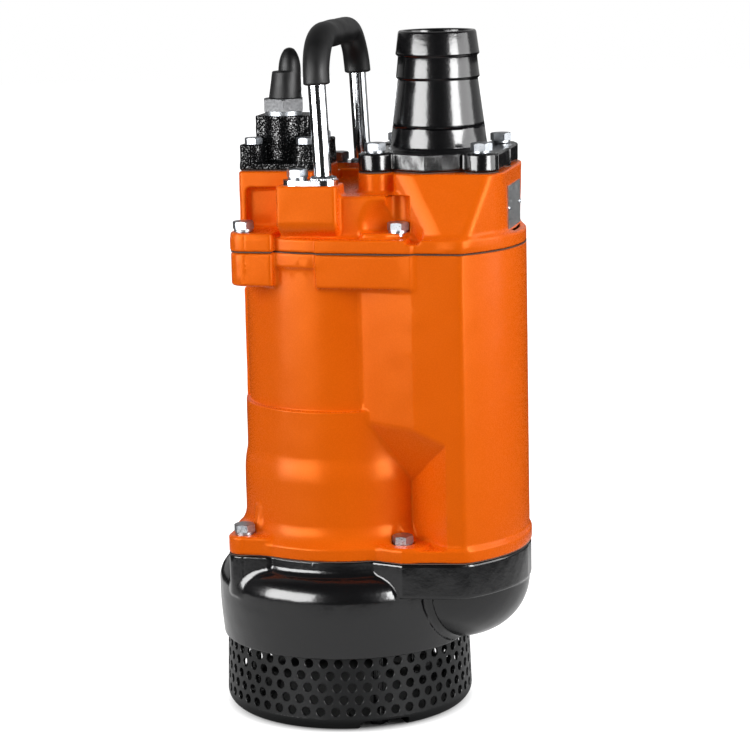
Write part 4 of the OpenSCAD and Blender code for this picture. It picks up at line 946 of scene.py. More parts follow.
@dataclass
class HeadCover(Assembly):
    """Head cover: deck under the cable entry, handle bosses and the outlet's foot.

    A box is the left, right, back and front of a plan. The mouth is its radius, foot and top.
    """

    side: SideBody = SideBody()
    left: float = -94.0
    end: float = 186.0
    half: float = 100.0
    seam: float = 460.2
    deck: float = 532.6
    band_r: float = 94.0
    plate_h: float = 13.0
    block_foot: float = 4.0
    ear_h: float = 18.0
    ledge: Box = (42.0, 97.0, 30.0, 92.5)
    ledge_r: float = 112.0
    ledge_h: float = 18.3
    outlet_x: float = 100.3
    flange_bolt: float = 51.0
    column_r: float = 16.0
    column_foot: float = 478.0
    foot_left: Point = (83.0, 74.0, 528.0)
    foot_right: Point = (162.0, 74.0, 528.0)
    foot_x: Pair = (69.0, 172.0)
    foot_z: float = 465.0
    deck_x: Pair = (-86.0, -12.0)
    seat_x: Pair = (34.3, 90.0)
    deck_y: float = 52.0
    boss: Box = (-37.4, 21.5, 62.0, 97.0)
    boss_tie: Pair = (40.0, 70.0)
    boss_z: Pair = (466.2, 523.6)
    boss_under: Point = (0.0, 97.0, 484.0)
    chest_x: Pair = (-30.0, 75.0)
    chest_y: float = 84.0
    chest_top: float = 513.0
    scoop_at: Point = (71.0, 93.0, 486.0)
    scoop_r: float = 27.0
    pocket: Box = (-78.0, -38.2, 46.0, 140.0)
    pocket_top: float = 517.0
    right_pocket: Box = (86.0, 100.0, 76.0, 130.0)
    right_z: Pair = (469.2, 500.0)
    right_cut: Point = (100.0, 88.0, 490.0)
    spot: float = 75.3
    spot_r: float = 11.0
    spot_top: float = 512.0
    mouth: Point = (38.0, 450.0, 560.0)
    wall: float = 7.0
    under: float = 440.0
    water_top: Pair = (474.0, 492.0)
    room_x: Pair = (-78.0, -20.0)
    room_y: float = 36.0
    room_top: float = 524.0
    low_x: Pair = (-32.0, 38.0)
    low_y: float = 70.0
    low_top: float = 504.0

    def outlet_foot(self, p: Sequence[Array]) -> Array:
        """Works out the distance to the tapered foot under the hose flange.

        Args:
            p: The three coordinates.

        Returns:
            Distances to the foot.
        """
        x, _, z = p
        front = plane(p, self.foot_left, (0, 0.954, 0.3))
        left = plane(p, self.foot_left, (-0.488, 0.873, 0))
        right = plane(p, self.foot_right, (0.826, 0.553, -0.106))
        body = clip(clip(front, left, 5), right, 6)
        body = clip(body, x - self.foot_x[1], 9)
        body = clip(body, self.foot_x[0] - x, 4)
        return clip(body, between(z, self.foot_z, self.deck), 2)

    def bosses(self, p: Sequence[Array]) -> Array:
        """Works out the distance to the handle bosses and the wall that ties them to the deck.

        Args:
            p: The three coordinates.

        Returns:
            Distances to the bosses.
        """
        x, y, z = p
        tie = block(x, y, self.boss[0], self.deck_x[1], *self.boss_tie, 3)
        body = join(block(x, y, *self.boss, 4), tie)
        body = clip(body, plane(p, self.boss_under, (0, 0.62, -0.78)), 5)
        return clip(body, between(z, *self.boss_z), 2.5)

    def chest(self, p: Sequence[Array]) -> Array:
        """Works out the distance to the low chamber with the scoop round the right bolt.

        Args:
            p: The three coordinates.

        Returns:
            Distances to the chamber.
        """
        x, y, z = p
        plan = block(x, y, *self.chest_x, -PAST, self.chest_y, 6)
        body = prism(plan, z, self.seam + self.block_foot, self.chest_top, 4)
        sx, sy, sz = self.scoop_at
        scoop = np.sqrt((x - sx) ** 2 + (y - sy) ** 2 + np.maximum(z - sz, 0) ** 2) - self.scoop_r
        return clip(body, -scoop, 7)

    def hollows(self, p: Sequence[Array]) -> Array:
        """Works out the distance to the water way, the room under the cable housing and the low chamber.

        Args:
            p: The three coordinates.

        Returns:
            Distances to the hollows.
        """
        x, y, z = p
        under, (mouth_r, mouth_foot, mouth_top) = self.under, self.mouth
        mouth = prism(disc(x, y, self.outlet_x, 0, mouth_r), z, mouth_foot, mouth_top)
        way = self.side.plan(x, y, Front.WATER_WAY)
        duct = clip(prism(way, z, under, self.water_top[1]), self.outlet_foot(p) + self.wall, 3)
        water = join(mouth, join(duct, prism(way, z, under, self.water_top[0])), 8)
        room = clip(block(x, y, *self.room_x, -PAST, self.room_y, 6), between(z, under, self.room_top))
        low = clip(block(x, y, *self.low_x, -PAST, self.low_y, 6), between(z, under, self.low_top))
        return join(water, join(room, low))

    def distance(self, points: Array) -> Array:
        """Works out the distance to the casting.

        Args:
            points: Rows of three coordinates.

        Returns:
            Distances, negative inside.
        """
        x, y, z = points[:, 0], np.abs(points[:, 1]), points[:, 2]
        p, r = (x, y, z), np.hypot(x, y)
        side, seam, deck = self.side, self.seam, self.deck
        ear = side.cover_ear(x, y)
        plan = join(r - self.band_r, side.plan(x, y, Front.ABOVE_FUNNEL), 1)
        plan = join(plan, join(side.lug(x, y), ear), 1)
        ledge = clip(block(x, y, *self.ledge, 6), r - self.ledge_r, 4)
        top = prism(block(x, y, *self.deck_x, -PAST, self.deck_y, 5), z, seam + self.block_foot, deck, 2)
        seat = prism(block(x, y, *self.seat_x, -PAST, self.deck_y, 3), z, seam + self.block_foot, deck, 2)
        column = disc(x, y, self.outlet_x - self.flange_bolt, self.flange_bolt, self.column_r)
        body = joined(prism(plan, z, seam, seam + self.plate_h, 2),
                      (prism(ear, z, seam, seam + self.ear_h, 2.5), 2),
                      (prism(ledge, z, seam, seam + self.ledge_h, 2), 3),
                      (self.outlet_foot(p), 6), (join(top, seat), 4), (self.chest(p), 5),
                      (prism(column, z, self.column_foot, deck, 2), 5), (self.bosses(p), 3))
        pocket = clip(block(x, y, *self.pocket, 4), between(z, seam + self.ear_h, self.pocket_top), 4)
        body = clip(body, -pocket, 2)
        spots = disc(np.abs(x), y, self.spot, self.spot, self.spot_r)
        body = clip(body, -prism(spots, z, seam + self.ledge_h, self.spot_top), 1)
        right = prism(block(x, y, *self.right_pocket, 4), z, *self.right_z, 4)
        body = clip(body, -clip(right, plane(p, self.right_cut, (0.6, -0.75, 0.3))), 2)
        body = clip(body, between(z, seam, deck), 0.8)
        return clip(body, -self.hollows(p), 0.8) + ripple(p, size=41, height=0.18)

    def build(self) -> None:
        """Builds and paints the casting."""
        low, high = (self.left, -self.half, self.seam), (self.end, self.half, self.deck)
        made = cast("head_cover_shell", self.distance, low, high, step=1.4, faces=80000)
        self.place(made, Finish.ORANGE, "orange_casting", "head_cover")


@dataclass
class Volute(Assembly):
    """Volute with its shoulder, neck and outlet elbow, one iron casting.

    Seats, chamber and throat are radius, foot and top. The valley is the groove between bowl and wall.
    """

    side: SideBody = SideBody()
    half: float = 130.0
    end: float = 186.0
    rim: float = 73.0
    top: float = 164.6
    outer_r: float = 126.8
    shoulder_top: float = 151.0
    shoulder_r: float = 24.0
    widest: float = 105.0
    draft: float = 0.094
    neck_r: float = 107.0
    neck_foot: float = 135.0
    outlet_x: float = 100.3
    bowl_r: float = 82.6
    bowl_foot: float = 73.6
    bowl_round: float = 57.0
    valley_r: float = 3.3
    valley_out: float = 2.2
    valley_foot: float = 128.0
    bulge_foot: float = 130.0
    bulge_x: float = 44.0
    end_x: float = 183.8
    ear_foot: float = 124.0
    basket_seat: Point = (120.4, 40.0, 80.0)
    cover_seat: Point = (116.0, 60.0, 88.0)
    chamber: Point = (86.0, 80.0, 126.0)
    oil_seat: Point = (86.0, 138.0, 190.0)
    roof_hole_r: float = 60.0
    elbow_r: float = 76.0
    elbow_foot: float = 80.6
    elbow_round: float = 50.0
    throat: Point = (90.0, 92.0, 122.0)

    def hollows(self, x: Array, y: Array, z: Array) -> Array:
        """Works out the distance to the chamber, the seats and the elbow's inside.

        Args:
            x: First coordinates.
            y: Second coordinates.
            z: Heights.

        Returns:
            Distances to the hollows.
        """
        r = np.hypot(x, y)
        rings = (self.basket_seat, self.cover_seat, self.chamber, self.oil_seat)
        bores = [prism(r - ring_r, z, low, high) for ring_r, low, high in rings]
        inner = np.minimum.reduce([r - self.roof_hole_r, *bores])
        bend = clip(np.hypot(x - self.outlet_x, y) - self.elbow_r, self.elbow_foot - z, self.elbow_round)
        throat_r, floor, roof = self.throat
        throat = join(self.side.plan(x, y, Front.WATER_WAY), prism(r - throat_r, z, floor, roof))
        return np.minimum(inner, clip(clip(bend, floor - z), throat))

    def distance(self, points: Array) -> Array:
        """Works out the distance to the casting.

        Args:
            points: Rows of three coordinates.

        Returns:
            Distances, negative inside.
        """
        x, y, z = points[:, 0], np.abs(points[:, 1]), points[:, 2]
        r = np.hypot(x, y)
        body = clip(r - self.outer_r, z - self.shoulder_top, self.shoulder_r)
        # Turns the radial distance to a slanted wall into the true one
        slant = 0.9956
        body = clip(body, (r - self.outer_r - (z - self.widest) * self.draft) * slant, 1)
        body = join(body, prism(r - self.neck_r, z, self.neck_foot, self.top, 1), 6)
        bowl = clip(np.hypot(x - self.outlet_x, y) - self.bowl_r, self.bowl_foot - z, self.bowl_round)
        bowl = clip(bowl, z - self.top)
        valley = join(self.valley_r - np.hypot(body - self.valley_out, bowl), self.valley_foot - z, 4)
        body = clip(join(body, bowl, 3), valley, 2)
        bulge = prism(self.side.plan(x, y, Front.LOWER_SEAM), z, self.bulge_foot, self.top, 3)
        body = clip(join(body, clip(bulge, self.bulge_x - x, 4), 2), x - self.end_x)
        body = join(body, prism(self.side.foot_ear(x, y), z, self.ear_foot, self.top, 2), 4)
        body = clip(body, between(z, self.rim, self.top), 1)
        return clip(body, -self.hollows(x, y, z), 0.8) + ripple((x, y, z), size=34, height=0.1)

    def build(self) -> None:
        """Builds and paints the casting."""
        low, high = (-self.half, -self.half, self.rim), (self.end, self.half, self.top)
        made = cast("volute_shell", self.distance, low, high, step=1.6, faces=70000)
        self.place(made, Finish.BLACK, "black_casting", "volute_casing")


@dataclass
class CableHousing(Assembly):
    """Cable housing on the deck: four bolt lugs, a block and the round boss under the gland.

    Its plans are quarters round middle_x. They run inward past both middle lines, and the lugs run outward
    past the plan. A niche is its place and radius.
    """

    low: Pair = (-90.0, -48.0)
    high: Pair = (-8.0, 48.0)
    foot: float = 533.4
    top: float = 583.4
    middle_x: float = -49.0
    plan_half: Pair = (37.0, 45.0)
    plate_h: float = 6.2
    inward: float = -40.0
    bolt: Pair = (25.5, 34.0)
    outward: Pair = (50.0, 60.0)
    lug_r: float = 11.0
    lug_h: float = 24.0
    waist_y: float = 27.0
    block_x: Pair = (-76.0, -22.0)
    block_y: float = 22.0
    gland: Pair = (-49.5, -12.0)
    boss_r: float = 18.2
    bore_r: float = 13.1
    niche: Point = (32.0, -25.0, 8.0)

    def distance(self, points: Array) -> Array:
        """Works out the distance to the casting.

        Args:
            points: Rows of three coordinates.

        Returns:
            Distances, negative inside.
        """
        x, y, z = points[:, 0], points[:, 1], points[:, 2]
        ax, ay = np.abs(x - self.middle_x), np.abs(y)
        (plan_x, plan_y), (bolt_x, bolt_y), (far_x, far_y) = self.plan_half, self.bolt, self.outward
        foot, top, inward = self.foot, self.top, self.inward
        plan = block(ax, ay, inward, plan_x, inward, plan_y, 4)
        lugs = join(disc(ax, ay, bolt_x, bolt_y, self.lug_r), block(ax, ay, bolt_x, far_x, bolt_y, far_y))
        waist = block(ax, ay, inward, plan_x, inward, self.waist_y, 3)
        tall = block(x, y, *self.block_x, -self.block_y, self.block_y, 4)
        boss = disc(x, y, *self.gland, self.boss_r)
        body = joined(prism(plan, z, foot, foot + self.plate_h, 1.2),
                      (prism(clip(lugs, plan, 1), z, foot, foot + self.lug_h, 1.6), 2.5),
                      (prism(waist, z, foot, foot + self.lug_h, 1.6), 2.5),
                      (prism(tall, z, foot, top, 1.6), 3), (prism(boss, z, foot, top, 1.2), 3))
        niche = prism(disc(ax, y, *self.niche), z, foot + self.plate_h, foot + self.lug_h + 2, 2)
        body = clip(clip(body, -niche, 1.5), between(z, foot, top), 0.8)
        body = clip(body, -disc(x, y, *self.gland, self.bore_r), 0.5)
        return body + ripple((x, y, z), size=17, height=0.22)

    def build(self) -> None:
        """Builds and paints the casting."""
        low, high = (*self.low, self.foot), (*self.high, self.top)
        made = cast("cable_housing_shell", self.distance, low, high, step=1.0, faces=44000)
        self.place(made, Finish.COARSE, "housing_casting", "cable_housing")


@dataclass
class HoseTail(Assembly):
    """Outlet flange and barbed hose tail, one iron casting.

    The flange's plan is a quarter that runs inward past both middle lines. The tail's upper half starts
    overlap under the seam.
    """

    foot: float = 533.4
    outlet_x: float = 100.3
    half: float = 72.0
    ends: Pair = (28.0, 172.0)
    flange_t: float = 17.0
    inward: float = -80.0
    plate_corners: Line = ((0.0, 70.2), (32.0, 54.0), (51.0, 34.0), (70.0, 0.0))
    bolt: float = 51.0
    lobe_r: float = 16.0
    raised_r: float = 13.0
    raised_h: float = 12.0
    cone_foot: float = 553.4
    cone_r: float = 46.5
    cone_fall: float = 8.3 / 64.6
    seam: float = 572.0
    overlap: float = 1.5
    cone_top: float = 615.0
    barrel_top: float = 620.0
    ridge_r: float = 40.0
    root_r: float = 38.2
    bore: float = 32.0
    mouth_r: float = 37.4
    tip: float = 662.4
    ridges: tuple[float, ...] = (618.6, 640.4)

    def cone(self, z: Array | float) -> Array | float:
        """Radius of the tail's cone at a height."""
        return self.cone_r - (z - self.cone_foot) * self.cone_fall

    def distance(self, points: Array) -> Array:
        """Works out the distance to the flange and the lower half of the cone.

        Args:
            points: Rows of three coordinates.

        Returns:
            Distances, negative inside.
        """
        x, y, z = points[:, 0] - self.outlet_x, points[:, 1], points[:, 2]
        ax, ay, r = np.abs(x), np.abs(y), np.hypot(x, y)
        foot, face, bolt, inward = self.foot, self.foot + self.flange_t, self.bolt, self.inward
        top_y, side_x = self.plate_corners[0][1], self.plate_corners[-1][0]
        plate = outline(ax, ay, [(inward, inward), (inward, top_y), *self.plate_corners, (side_x, inward)])
        plate = join(plate, disc(ax, ay, bolt, bolt, self.lobe_r), 4)
        # The two right lobes share one straight side
        plate = join(plate, block(x, ay, bolt, bolt + self.lobe_r, -PAST, bolt), 2)
        # Turns the radial distance to a slanted wall into the true one
        slant = 0.992
        tail = clip((r - self.cone(z)) * slant, between(z, foot, self.barrel_top))
        raised = prism(disc(ax, ay, bolt, bolt, self.raised_r), z, foot + self.raised_h, face + 0.6, 0.6)
        body = joined(prism(plate, z, foot, face, 1.8), (tail, 4), (raised, 1.5))
        body = clip(body, self.bore - r, 1) + ripple((x, y, z), size=30, height=0.2)
        return clip(body, z - self.seam)

    def barbs(self) -> list[Pair]:
        """Works out the profile of the upper half: cone, two ridges, mouth and bore.

        Returns:
            Radius and height of each ring.
        """
        ridge, root, tip, start = self.ridge_r, self.root_r, self.tip, self.seam - self.overlap
        first, second = self.ridges
        rows = [(self.cone(z), z) for z in np.linspace(start, self.cone_top, 9)]
        rows += [(root + 0.1, 616.4), (root + 0.4, 617.2), (ridge - 0.5, 617.9)]
        rows += [(ridge, first), (ridge, first + 1.2), (ridge - 0.3, first + 2.4), (root - 0.4, 637.6)]
        rows += [(root, 638.8), (ridge - 0.7, 639.6)]
        rows += [(ridge, second), (ridge, second + 1.2), (ridge - 0.3, second + 2.4)]
        rows += [(self.mouth_r, tip - 2), (self.mouth_r - 0.5, tip - 0.8), (self.mouth_r - 1.2, tip)]
        rows += [(self.bore + 1.4, tip), (self.bore + 0.5, tip - 0.4), (self.bore, tip - 1.4)]
        return rows + [(self.bore, start)]

    def build(self) -> None:
        """Builds and paints both halves."""
        low, high = (self.ends[0], -self.half, self.foot), (self.ends[1], self.half, self.seam)
        flange = cast("hose_flange_shell", self.distance, low, high, step=1.4, faces=40000)
        tail = turned("hose_tail_barbs", self.barbs(), (self.outlet_x, 0), sides=160)
        for made in (flange, tail):
            self.place(made, Finish.BLACK, "black_casting", "hose_coupling")


@dataclass
class Basket(Assembly):
    """Strainer basket: perforated sheet with a rounded bottom and three stud recesses.

    The sheet runs down past the top of the bottom's corner by the overlap.
    """

    top_r: float = 120.0
    flare: float = 2.0
    top: float = 80.0
    wall: float = 2.5
    corner: float = 14.0
    overlap: float = 0.6
    columns: int = 52
    rows: int = 5
    row_pitch: float = 11.9
    first_row: float = 20.0
    hole_r: float = 4.3
    chamfer: float = 0.45
    burr: float = 0.2
    across: int = 16
    upright: int = 4
    lean: int = 9
    recess_turns: tuple[int, ...] = (-60, 60, 180)
    recess_x: float = 80.0
    recess_half: float = 24.0
    recess_top: float = 10.0

    def radius(self, z: Array | float) -> Array | float:
        """Outer radius at a height above the rounded corner."""
        return self.top_r + self.flare * (1 - (z - self.corner) / (self.top - self.corner))

    def cell(self) -> list[tuple[Array, float]]:
        """Works out one cell of the sheet, from its border into the hole and back out on the inner side.

        Returns:
            For each row of points, their places on the sheet and their depth in it.
        """
        arc = 2 * math.pi / self.columns * (self.top_r + 1)
        n, m = self.across, self.upright
        side = [(-0.5 + k / n, -0.5) for k in range(n)] + [(0.5, -0.5 + k / m) for k in range(m)]
        flat = np.array(side + [(-a, -b) for a, b in side]) * (arc, self.row_pitch)
        angle = np.arctan2(flat[:, 1], flat[:, 0])
        ring = np.stack([np.cos(angle), np.sin(angle)], 1)
        hole, wall = self.hole_r, self.wall
        return [(flat, 0.0), (ring * (hole + self.chamfer), 0.0), (ring * hole, self.chamfer),
                (ring * hole, wall - self.burr), (ring * (hole + self.burr), wall), (flat, wall)]

    def sheet(self) -> Thing:
        """Builds the perforated wall as one cell per hole.

        Returns:
            The wall.
        """
        pitch = 2 * math.pi / self.columns
        layers = self.cell()
        size = len(layers[0][0])
        vertices, faces = [], []
        for row in range(self.rows):
            z0 = self.first_row + row * self.row_pitch
            for column in range(self.columns):
                u0 = (column + row * self.lean / self.across) * pitch
                start = len(vertices) * size
                for offset, depth in layers:
                    z = z0 + offset[:, 1]
                    u = u0 + offset[:, 0] / (self.top_r + 1)
                    r = self.radius(z) - depth
                    vertices.append(np.stack([r * np.cos(u), r * np.sin(u), z], 1))
                for i in range(len(layers) - 1):
                    faces += strip(start + i * size, start + (i + 1) * size, size)
        low = self.first_row - self.row_pitch / 2
        high = self.first_row + (self.rows - 0.5) * self.row_pitch
        self.hem(vertices, faces, 0, (low, self.corner - self.overlap))
        self.hem(vertices, faces, self.rows - 1, (high, self.top))
        made = mesh_object("strainer_sheet", np.concatenate(vertices), faces)
        tidy = bmesh.new()
        tidy.from_mesh(made.data)
        bmesh.ops.remove_doubles(tidy, verts=tidy.verts, dist=0.02 * MM)
        bmesh.ops.recalc_face_normals(tidy, faces=tidy.faces)
        tidy.to_mesh(made.data)
        tidy.free()
        made.data.set_sharp_from_angle(angle=math.radians(35))
        return made

    def hem(self, vertices: list[Array], faces: Quads, row: int, heights: Pair) -> None:
        """Adds the plain strip between the holes and an edge of the sheet to the lists.

        Args:
            vertices: Rows of points so far.
            faces: Faces so far.
            row: The row of holes that it borders on.
            heights: Heights of its side at the holes and of its free side.
        """
        inner, outer = heights
        count = self.columns * self.across
        turn = 0.5 + row * self.lean / self.across
        u = (np.arange(count) / self.across + turn) * (2 * math.pi / self.columns)
        start = sum(len(points) for points in vertices)
        for z, depth in ((inner, 0.0), (outer, 0.0), (outer, self.wall), (inner, self.wall)):
            r = self.radius(z) - depth
            vertices.append(np.stack([r * np.cos(u), r * np.sin(u), np.full(count, z)], 1))
        for i in range(3):
            faces.extend(strip(start + (i + 1) * count, start + i * count, count))

    def bottom(self, points: Array) -> Array:
        """Works out the distance to the rounded bottom with its recesses.

        Args:
            points: Rows of three coordinates.

        Returns:
            Distances, negative inside.
        """
        x, y, z = points[:, 0], points[:, 1], points[:, 2]
        edge = np.hypot(x, y) - (self.top_r + self.flare)
        outer = clip(edge, -z, self.corner)
        inner = clip(edge + self.wall, self.wall - z, self.corner - self.wall)
        hollows = []
        for turn in self.recess_turns:
            c, s = math.cos(math.radians(turn)), math.sin(math.radians(turn))
            along, across = x * c + y * s, np.abs(y * c - x * s)
            hollow = clip(self.recess_x - along, across - self.recess_half, 4)
            hollows.append(clip(hollow, z - self.recess_top, 3))
        recess = np.minimum.reduce(hollows)
        lining = np.maximum(outer, recess - self.wall)
        solid = np.maximum(np.minimum(np.maximum(outer, -inner), lining), -recess)
        return clip(solid, z - self.corner, 0.3)

    def build(self) -> None:
        """Builds and paints the wall and the bottom."""
        big = self.top_r + self.flare
        sheet = self.sheet()
        self.place(sheet, Finish.BASKET, "strainer_steel", "strainer")
        low, high = (-big, -big, 0), (big, big, self.corner)
        floor = cast("strainer_bottom", self.bottom, low, high, step=1.25, faces=60000)
        self.place(floor, Finish.BASKET, "strainer_steel", "strainer")


@dataclass
class Handle(Assembly):
    """Rubber grip on the bent bar, and the weld beads at the bar's feet."""

    leg_x: float = 6.0
    half_span: float = 82.0
    foot: float = 523.6
    foot_t: float = 5.0
    rise: float = 137.6
    bend: float = 40.0
    lean: float = math.radians(2.5)
    grip_r: float = 12.75
    grip_below: float = 4.0
    lip: float = 2.2
    bar_r: float = 8.5
    bead_r: float = 2.3
    sides: int = 48

    def centreline(self, start: float, steps: int) -> Array:
        """Centreline of the bar, from a height over one foot to the same over the other.

        Args:
            start: Height over the feet.
            steps: Points on each bend.

        Returns:
            Its points.
        """
        leg, inner = self.rise - self.bend, self.half_span - self.bend
        leg_steps, top_steps = 9, 24
        turn = np.linspace(0, math.pi / 2, steps)
        points = [(-self.half_span, z) for z in np.linspace(start, leg, leg_steps)[:-1]]
        points += [(-inner - self.bend * math.cos(a), leg + self.bend * math.sin(a)) for a in turn]
        points += [(y, self.rise) for y in np.linspace(-inner, inner, top_steps)[1:-1]]
        points += [(inner + self.bend * math.sin(a), leg + self.bend * math.cos(a)) for a in turn]
        points += [(self.half_span, z) for z in np.linspace(leg, start, leg_steps)[1:]]
        y, z = np.array(points).T
        return np.stack([self.leg_x - z * math.sin(self.lean), y, self.foot + z * math.cos(self.lean)], 1)

    def grip(self) -> Thing:
        """Builds the grip with its rolled lips and slightly uneven skin.

        Returns:
            The grip.
        """
        path = self.centreline(self.rise - self.bend - self.grip_below, 26)
        length = np.concatenate([[0], np.cumsum(np.linalg.norm(np.diff(path, axis=0), axis=1))])
        total = length[-1]
        # Points stand closer together along the lips than between them
        fine, plain, steps = 6, 7, 9
        ends, middle = np.linspace(0, fine, steps), np.linspace(plain, total - plain, 150)
        along = np.concatenate([ends, middle, np.linspace(total - fine, total, steps)])
        path = np.stack([np.interp(along, length, path[:, k]) for k in range(3)], 1)
        edge = np.minimum(along, total - along)
        lip = np.sqrt(np.clip(1 - np.clip(1 - edge / self.lip, 0, 1) ** 2, 0, 1))
        angle = np.arange(self.sides) * (2 * math.pi / self.sides)
        inner = self.bar_r + 0.4
        radius = inner + (self.grip_r - inner) * (0.35 + 0.65 * lip)
        # Slow waves along the rubber, and a pinch with three dents at each end
        waves = 0.28 * np.sin(along / 9.5 + 0.6)[:, None] * np.cos(angle * 2 + along[:, None] / 31)
        pinch = 0.5 * np.exp(-edge / 7)[:, None] * np.cos(angle * 3 + 0.8)
        return swept("rubber_grip", path, radius[:, None] + waves + pinch)

    def bead(self, name: str, side: float) -> Thing:
        """Builds the weld bead round one foot of the bar, with its ripples.

        Args:
            name: The bead's name.
            side: -1 for the front foot, 1 for the back one.

        Returns:
            The bead.
        """
        turns, around = 96, 10
        u = np.arange(turns) * (2 * math.pi / turns)
        v = np.arange(around) * (2 * math.pi / around)
        ring_r = self.bar_r + 1.6 + 0.35 * np.sin(u * 5 + 0.4)
        thick = (self.bead_r + 0.45 * np.sin(u * 17) + 0.2 * np.sin(u * 7 + 1))[:, None]
        r = ring_r[:, None] + thick * np.cos(v)
        x = self.leg_x - 0.2 + r * np.cos(u)[:, None]
        y = side * self.half_span + r * np.sin(u)[:, None]
        z = self.foot + self.foot_t + 0.6 + thick * np.sin(v)
        faces = [quad for i in range(turns) for quad in strip(((i + 1) % turns) * around, i * around, around)]
        return mesh_object(name, np.stack([x, y, z], -1).reshape(-1, 3), faces)

    def build(self) -> None:
        """Builds and paints the grip and the beads."""
        self.place(self.grip(), Finish.RUBBER, "rubber", "handle_grip")
        for name, side in (("weld_bead_front", -1.0), ("weld_bead_back", 1.0)):
            self.place(self.bead(name, side), Finish.ZINC, "zinc_steel")


@dataclass
class CableBoot(Assembly):
    """Rubber boot over the gland, with the closed cable stub that leans in it."""

    at: Pair = (-47.5, -12.0)
    foot: float = 599.4
    base_r: float = 16.0
    taper: float = 0.121
    height: float = 26.0
    lean: float = 0.035
    stub_x: float = 4.7
    stub_r: float = 10.8
    stub_h: float = 23.0
    stub_lean: float = 0.012
    box_h: float = 50.0

    def distance(self, points: Array) -> Array:
        """Works out the distance to the boot and the stub.

        Args:
            points: Rows of three coordinates.

        Returns:
            Distances, negative inside.
        """
        x, y, z = points[:, 0] - self.at[0], points[:, 1] - self.at[1], points[:, 2] - self.foot
        r = np.hypot(x - z * self.lean, y)
        # Turn the radial distances to slanted walls into true ones
        cone_slant, stub_slant = 0.992, 0.8
        cone = clip((r - (self.base_r - z * self.taper)) * cone_slant, between(z, 0, self.height), 1.2)
        up = np.clip((z - self.height) / self.stub_h, 0, 1)
        rounded = self.stub_r * np.sqrt(np.clip(1 - up * up, 0.02, 1))
        stub = (np.hypot(x - self.stub_x - z * self.stub_lean, y) - rounded) * stub_slant
        return join(cone, clip(stub, between(z, 6, self.height + self.stub_h - 0.6), 2), 1.5)

    def build(self) -> None:
        """Builds and paints the boot."""
        (x, y), reach = self.at, self.base_r + 2
        low, high = (x - reach, y - reach, self.foot), (x + reach, y + reach, self.foot + self.box_h)
        made = cast("cable_boot_skin", self.distance, low, high, step=0.8, faces=16000)
        self.place(made, Finish.RUBBER, "rubber", "cable_boot")


@dataclass
class FrameParts(Assembly):
    """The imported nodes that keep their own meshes: each gets a finish and, where it shows, soft edges."""

    finishes: dict[Finish, tuple[str, ...]] = field(default_factory=lambda: {
        Finish.ZINC: ("suction_cover_screws", "oil_housing_screws", "casing_bolts",
                      "casing_washers", "cover_bolts", "cover_washers", "housing_bolts", "gland_collar",
                      "handle_bolts", "handle_washers", "flange_bolts", "flange_washers", "impeller_washer"),
        Finish.STEEL: ("impeller", "impeller_key", "shaft", "lower_bearing_outer", "lower_bearing_inner",
                       "upper_bearing_outer", "upper_bearing_inner", "bearing_circlip", "wave_washer",
                       "nameplate_rivets"),
        Finish.CAST_NUT: ("gland_nut",),
        Finish.BAR: ("handle_bar", "lower_bearing_balls", "upper_bearing_balls"),
        Finish.LAMINATION: ("stator_core", "rotor_core"),
        Finish.ALUMINIUM: ("rotor_end_rings",),
        Finish.WINDING: ("stator_windings",),
        Finish.BRASS: ("impeller_nut",),
        Finish.PLATE: ("nameplate",),
        Finish.PRIMER: ("oil_housing", "bearing_housing", "upper_bracket", "oil_lifter"),
        Finish.BLACK: ("suction_cover", "strainer_studs", "strainer_nuts"),
        Finish.RUBBER: ("seal_bellows", "gland_packing", "thermal_protector"),
        Finish.FIBRE: ("casing_gasket", "cover_gasket", "housing_gasket", "flange_gasket"),
        Finish.CERAMIC: ("seal_seat_lower", "seal_seat_upper"),
        Finish.CARBON: ("seal_ring_lower", "seal_ring_upper"),
    })
    edges: dict[float, tuple[str, ...]] = field(default_factory=lambda: {
        0.3: ("nameplate",),
        0.4: ("casing_washers", "cover_washers", "flange_washers", "handle_washers"),
        0.5: ("housing_bolts", "strainer_nuts"),
        0.6: ("casing_bolts", "cover_bolts", "flange_bolts", "handle_bolts", "gland_collar"),
        0.8: ("gland_nut", "handle_bar"),
    })

    def build(self, nodes: dict[str, Thing]) -> None:
        """Paints the nodes and softens their edges.

        Args:
            nodes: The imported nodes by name.
        """
        for finish, names in self.finishes.items():
            for name in names:
                for slot in nodes[name].material_slots:
                    slot.material = finish.material()
                log.info("%s: packed mesh, %s", name, finish.value.name)
        for width, names in self.edges.items():
            for name in names:
                soften(nodes[name], width)


# ---------- Stage ----------


@dataclass(frozen=True)
class Lamp:
    """A softbox that faces the pump: degrees to the camera's right, sizes in metres, power in watts.

    A strip shows only in glossy paint, and a soft lamp only lights what it falls on.
    """

    name: str
    turn: float
    height: float
    size: Pair
    power: float
    strip: bool
    away: float = 2.2
    aim_x: float = 0.03

    def build(self, front: float) -> None:
        """Adds the lamp.

        Args:
            front: Degrees from the Y axis to the camera.
        """
        data = bpy.data.lights.new(self.name, "AREA")
        data.shape = "RECTANGLE"
        data.size, data.size_y = self.size
        data.energy = self.power
        made = bpy.data.objects.new(self.name, data)
        angle = math.radians(front + self.turn)
        place = Vector((math.sin(angle) * self.away, -math.cos(angle) * self.away, self.height))
        middle = Vector((self.aim_x, 0, self.height))
        made.location = place
        made.rotation_euler = (middle - place).to_track_quat("-Z", "Y").to_euler()
        made.visible_diffuse = not self.strip
        made.visible_glossy = self.strip
        bpy.context.scene.collection.objects.link(made)


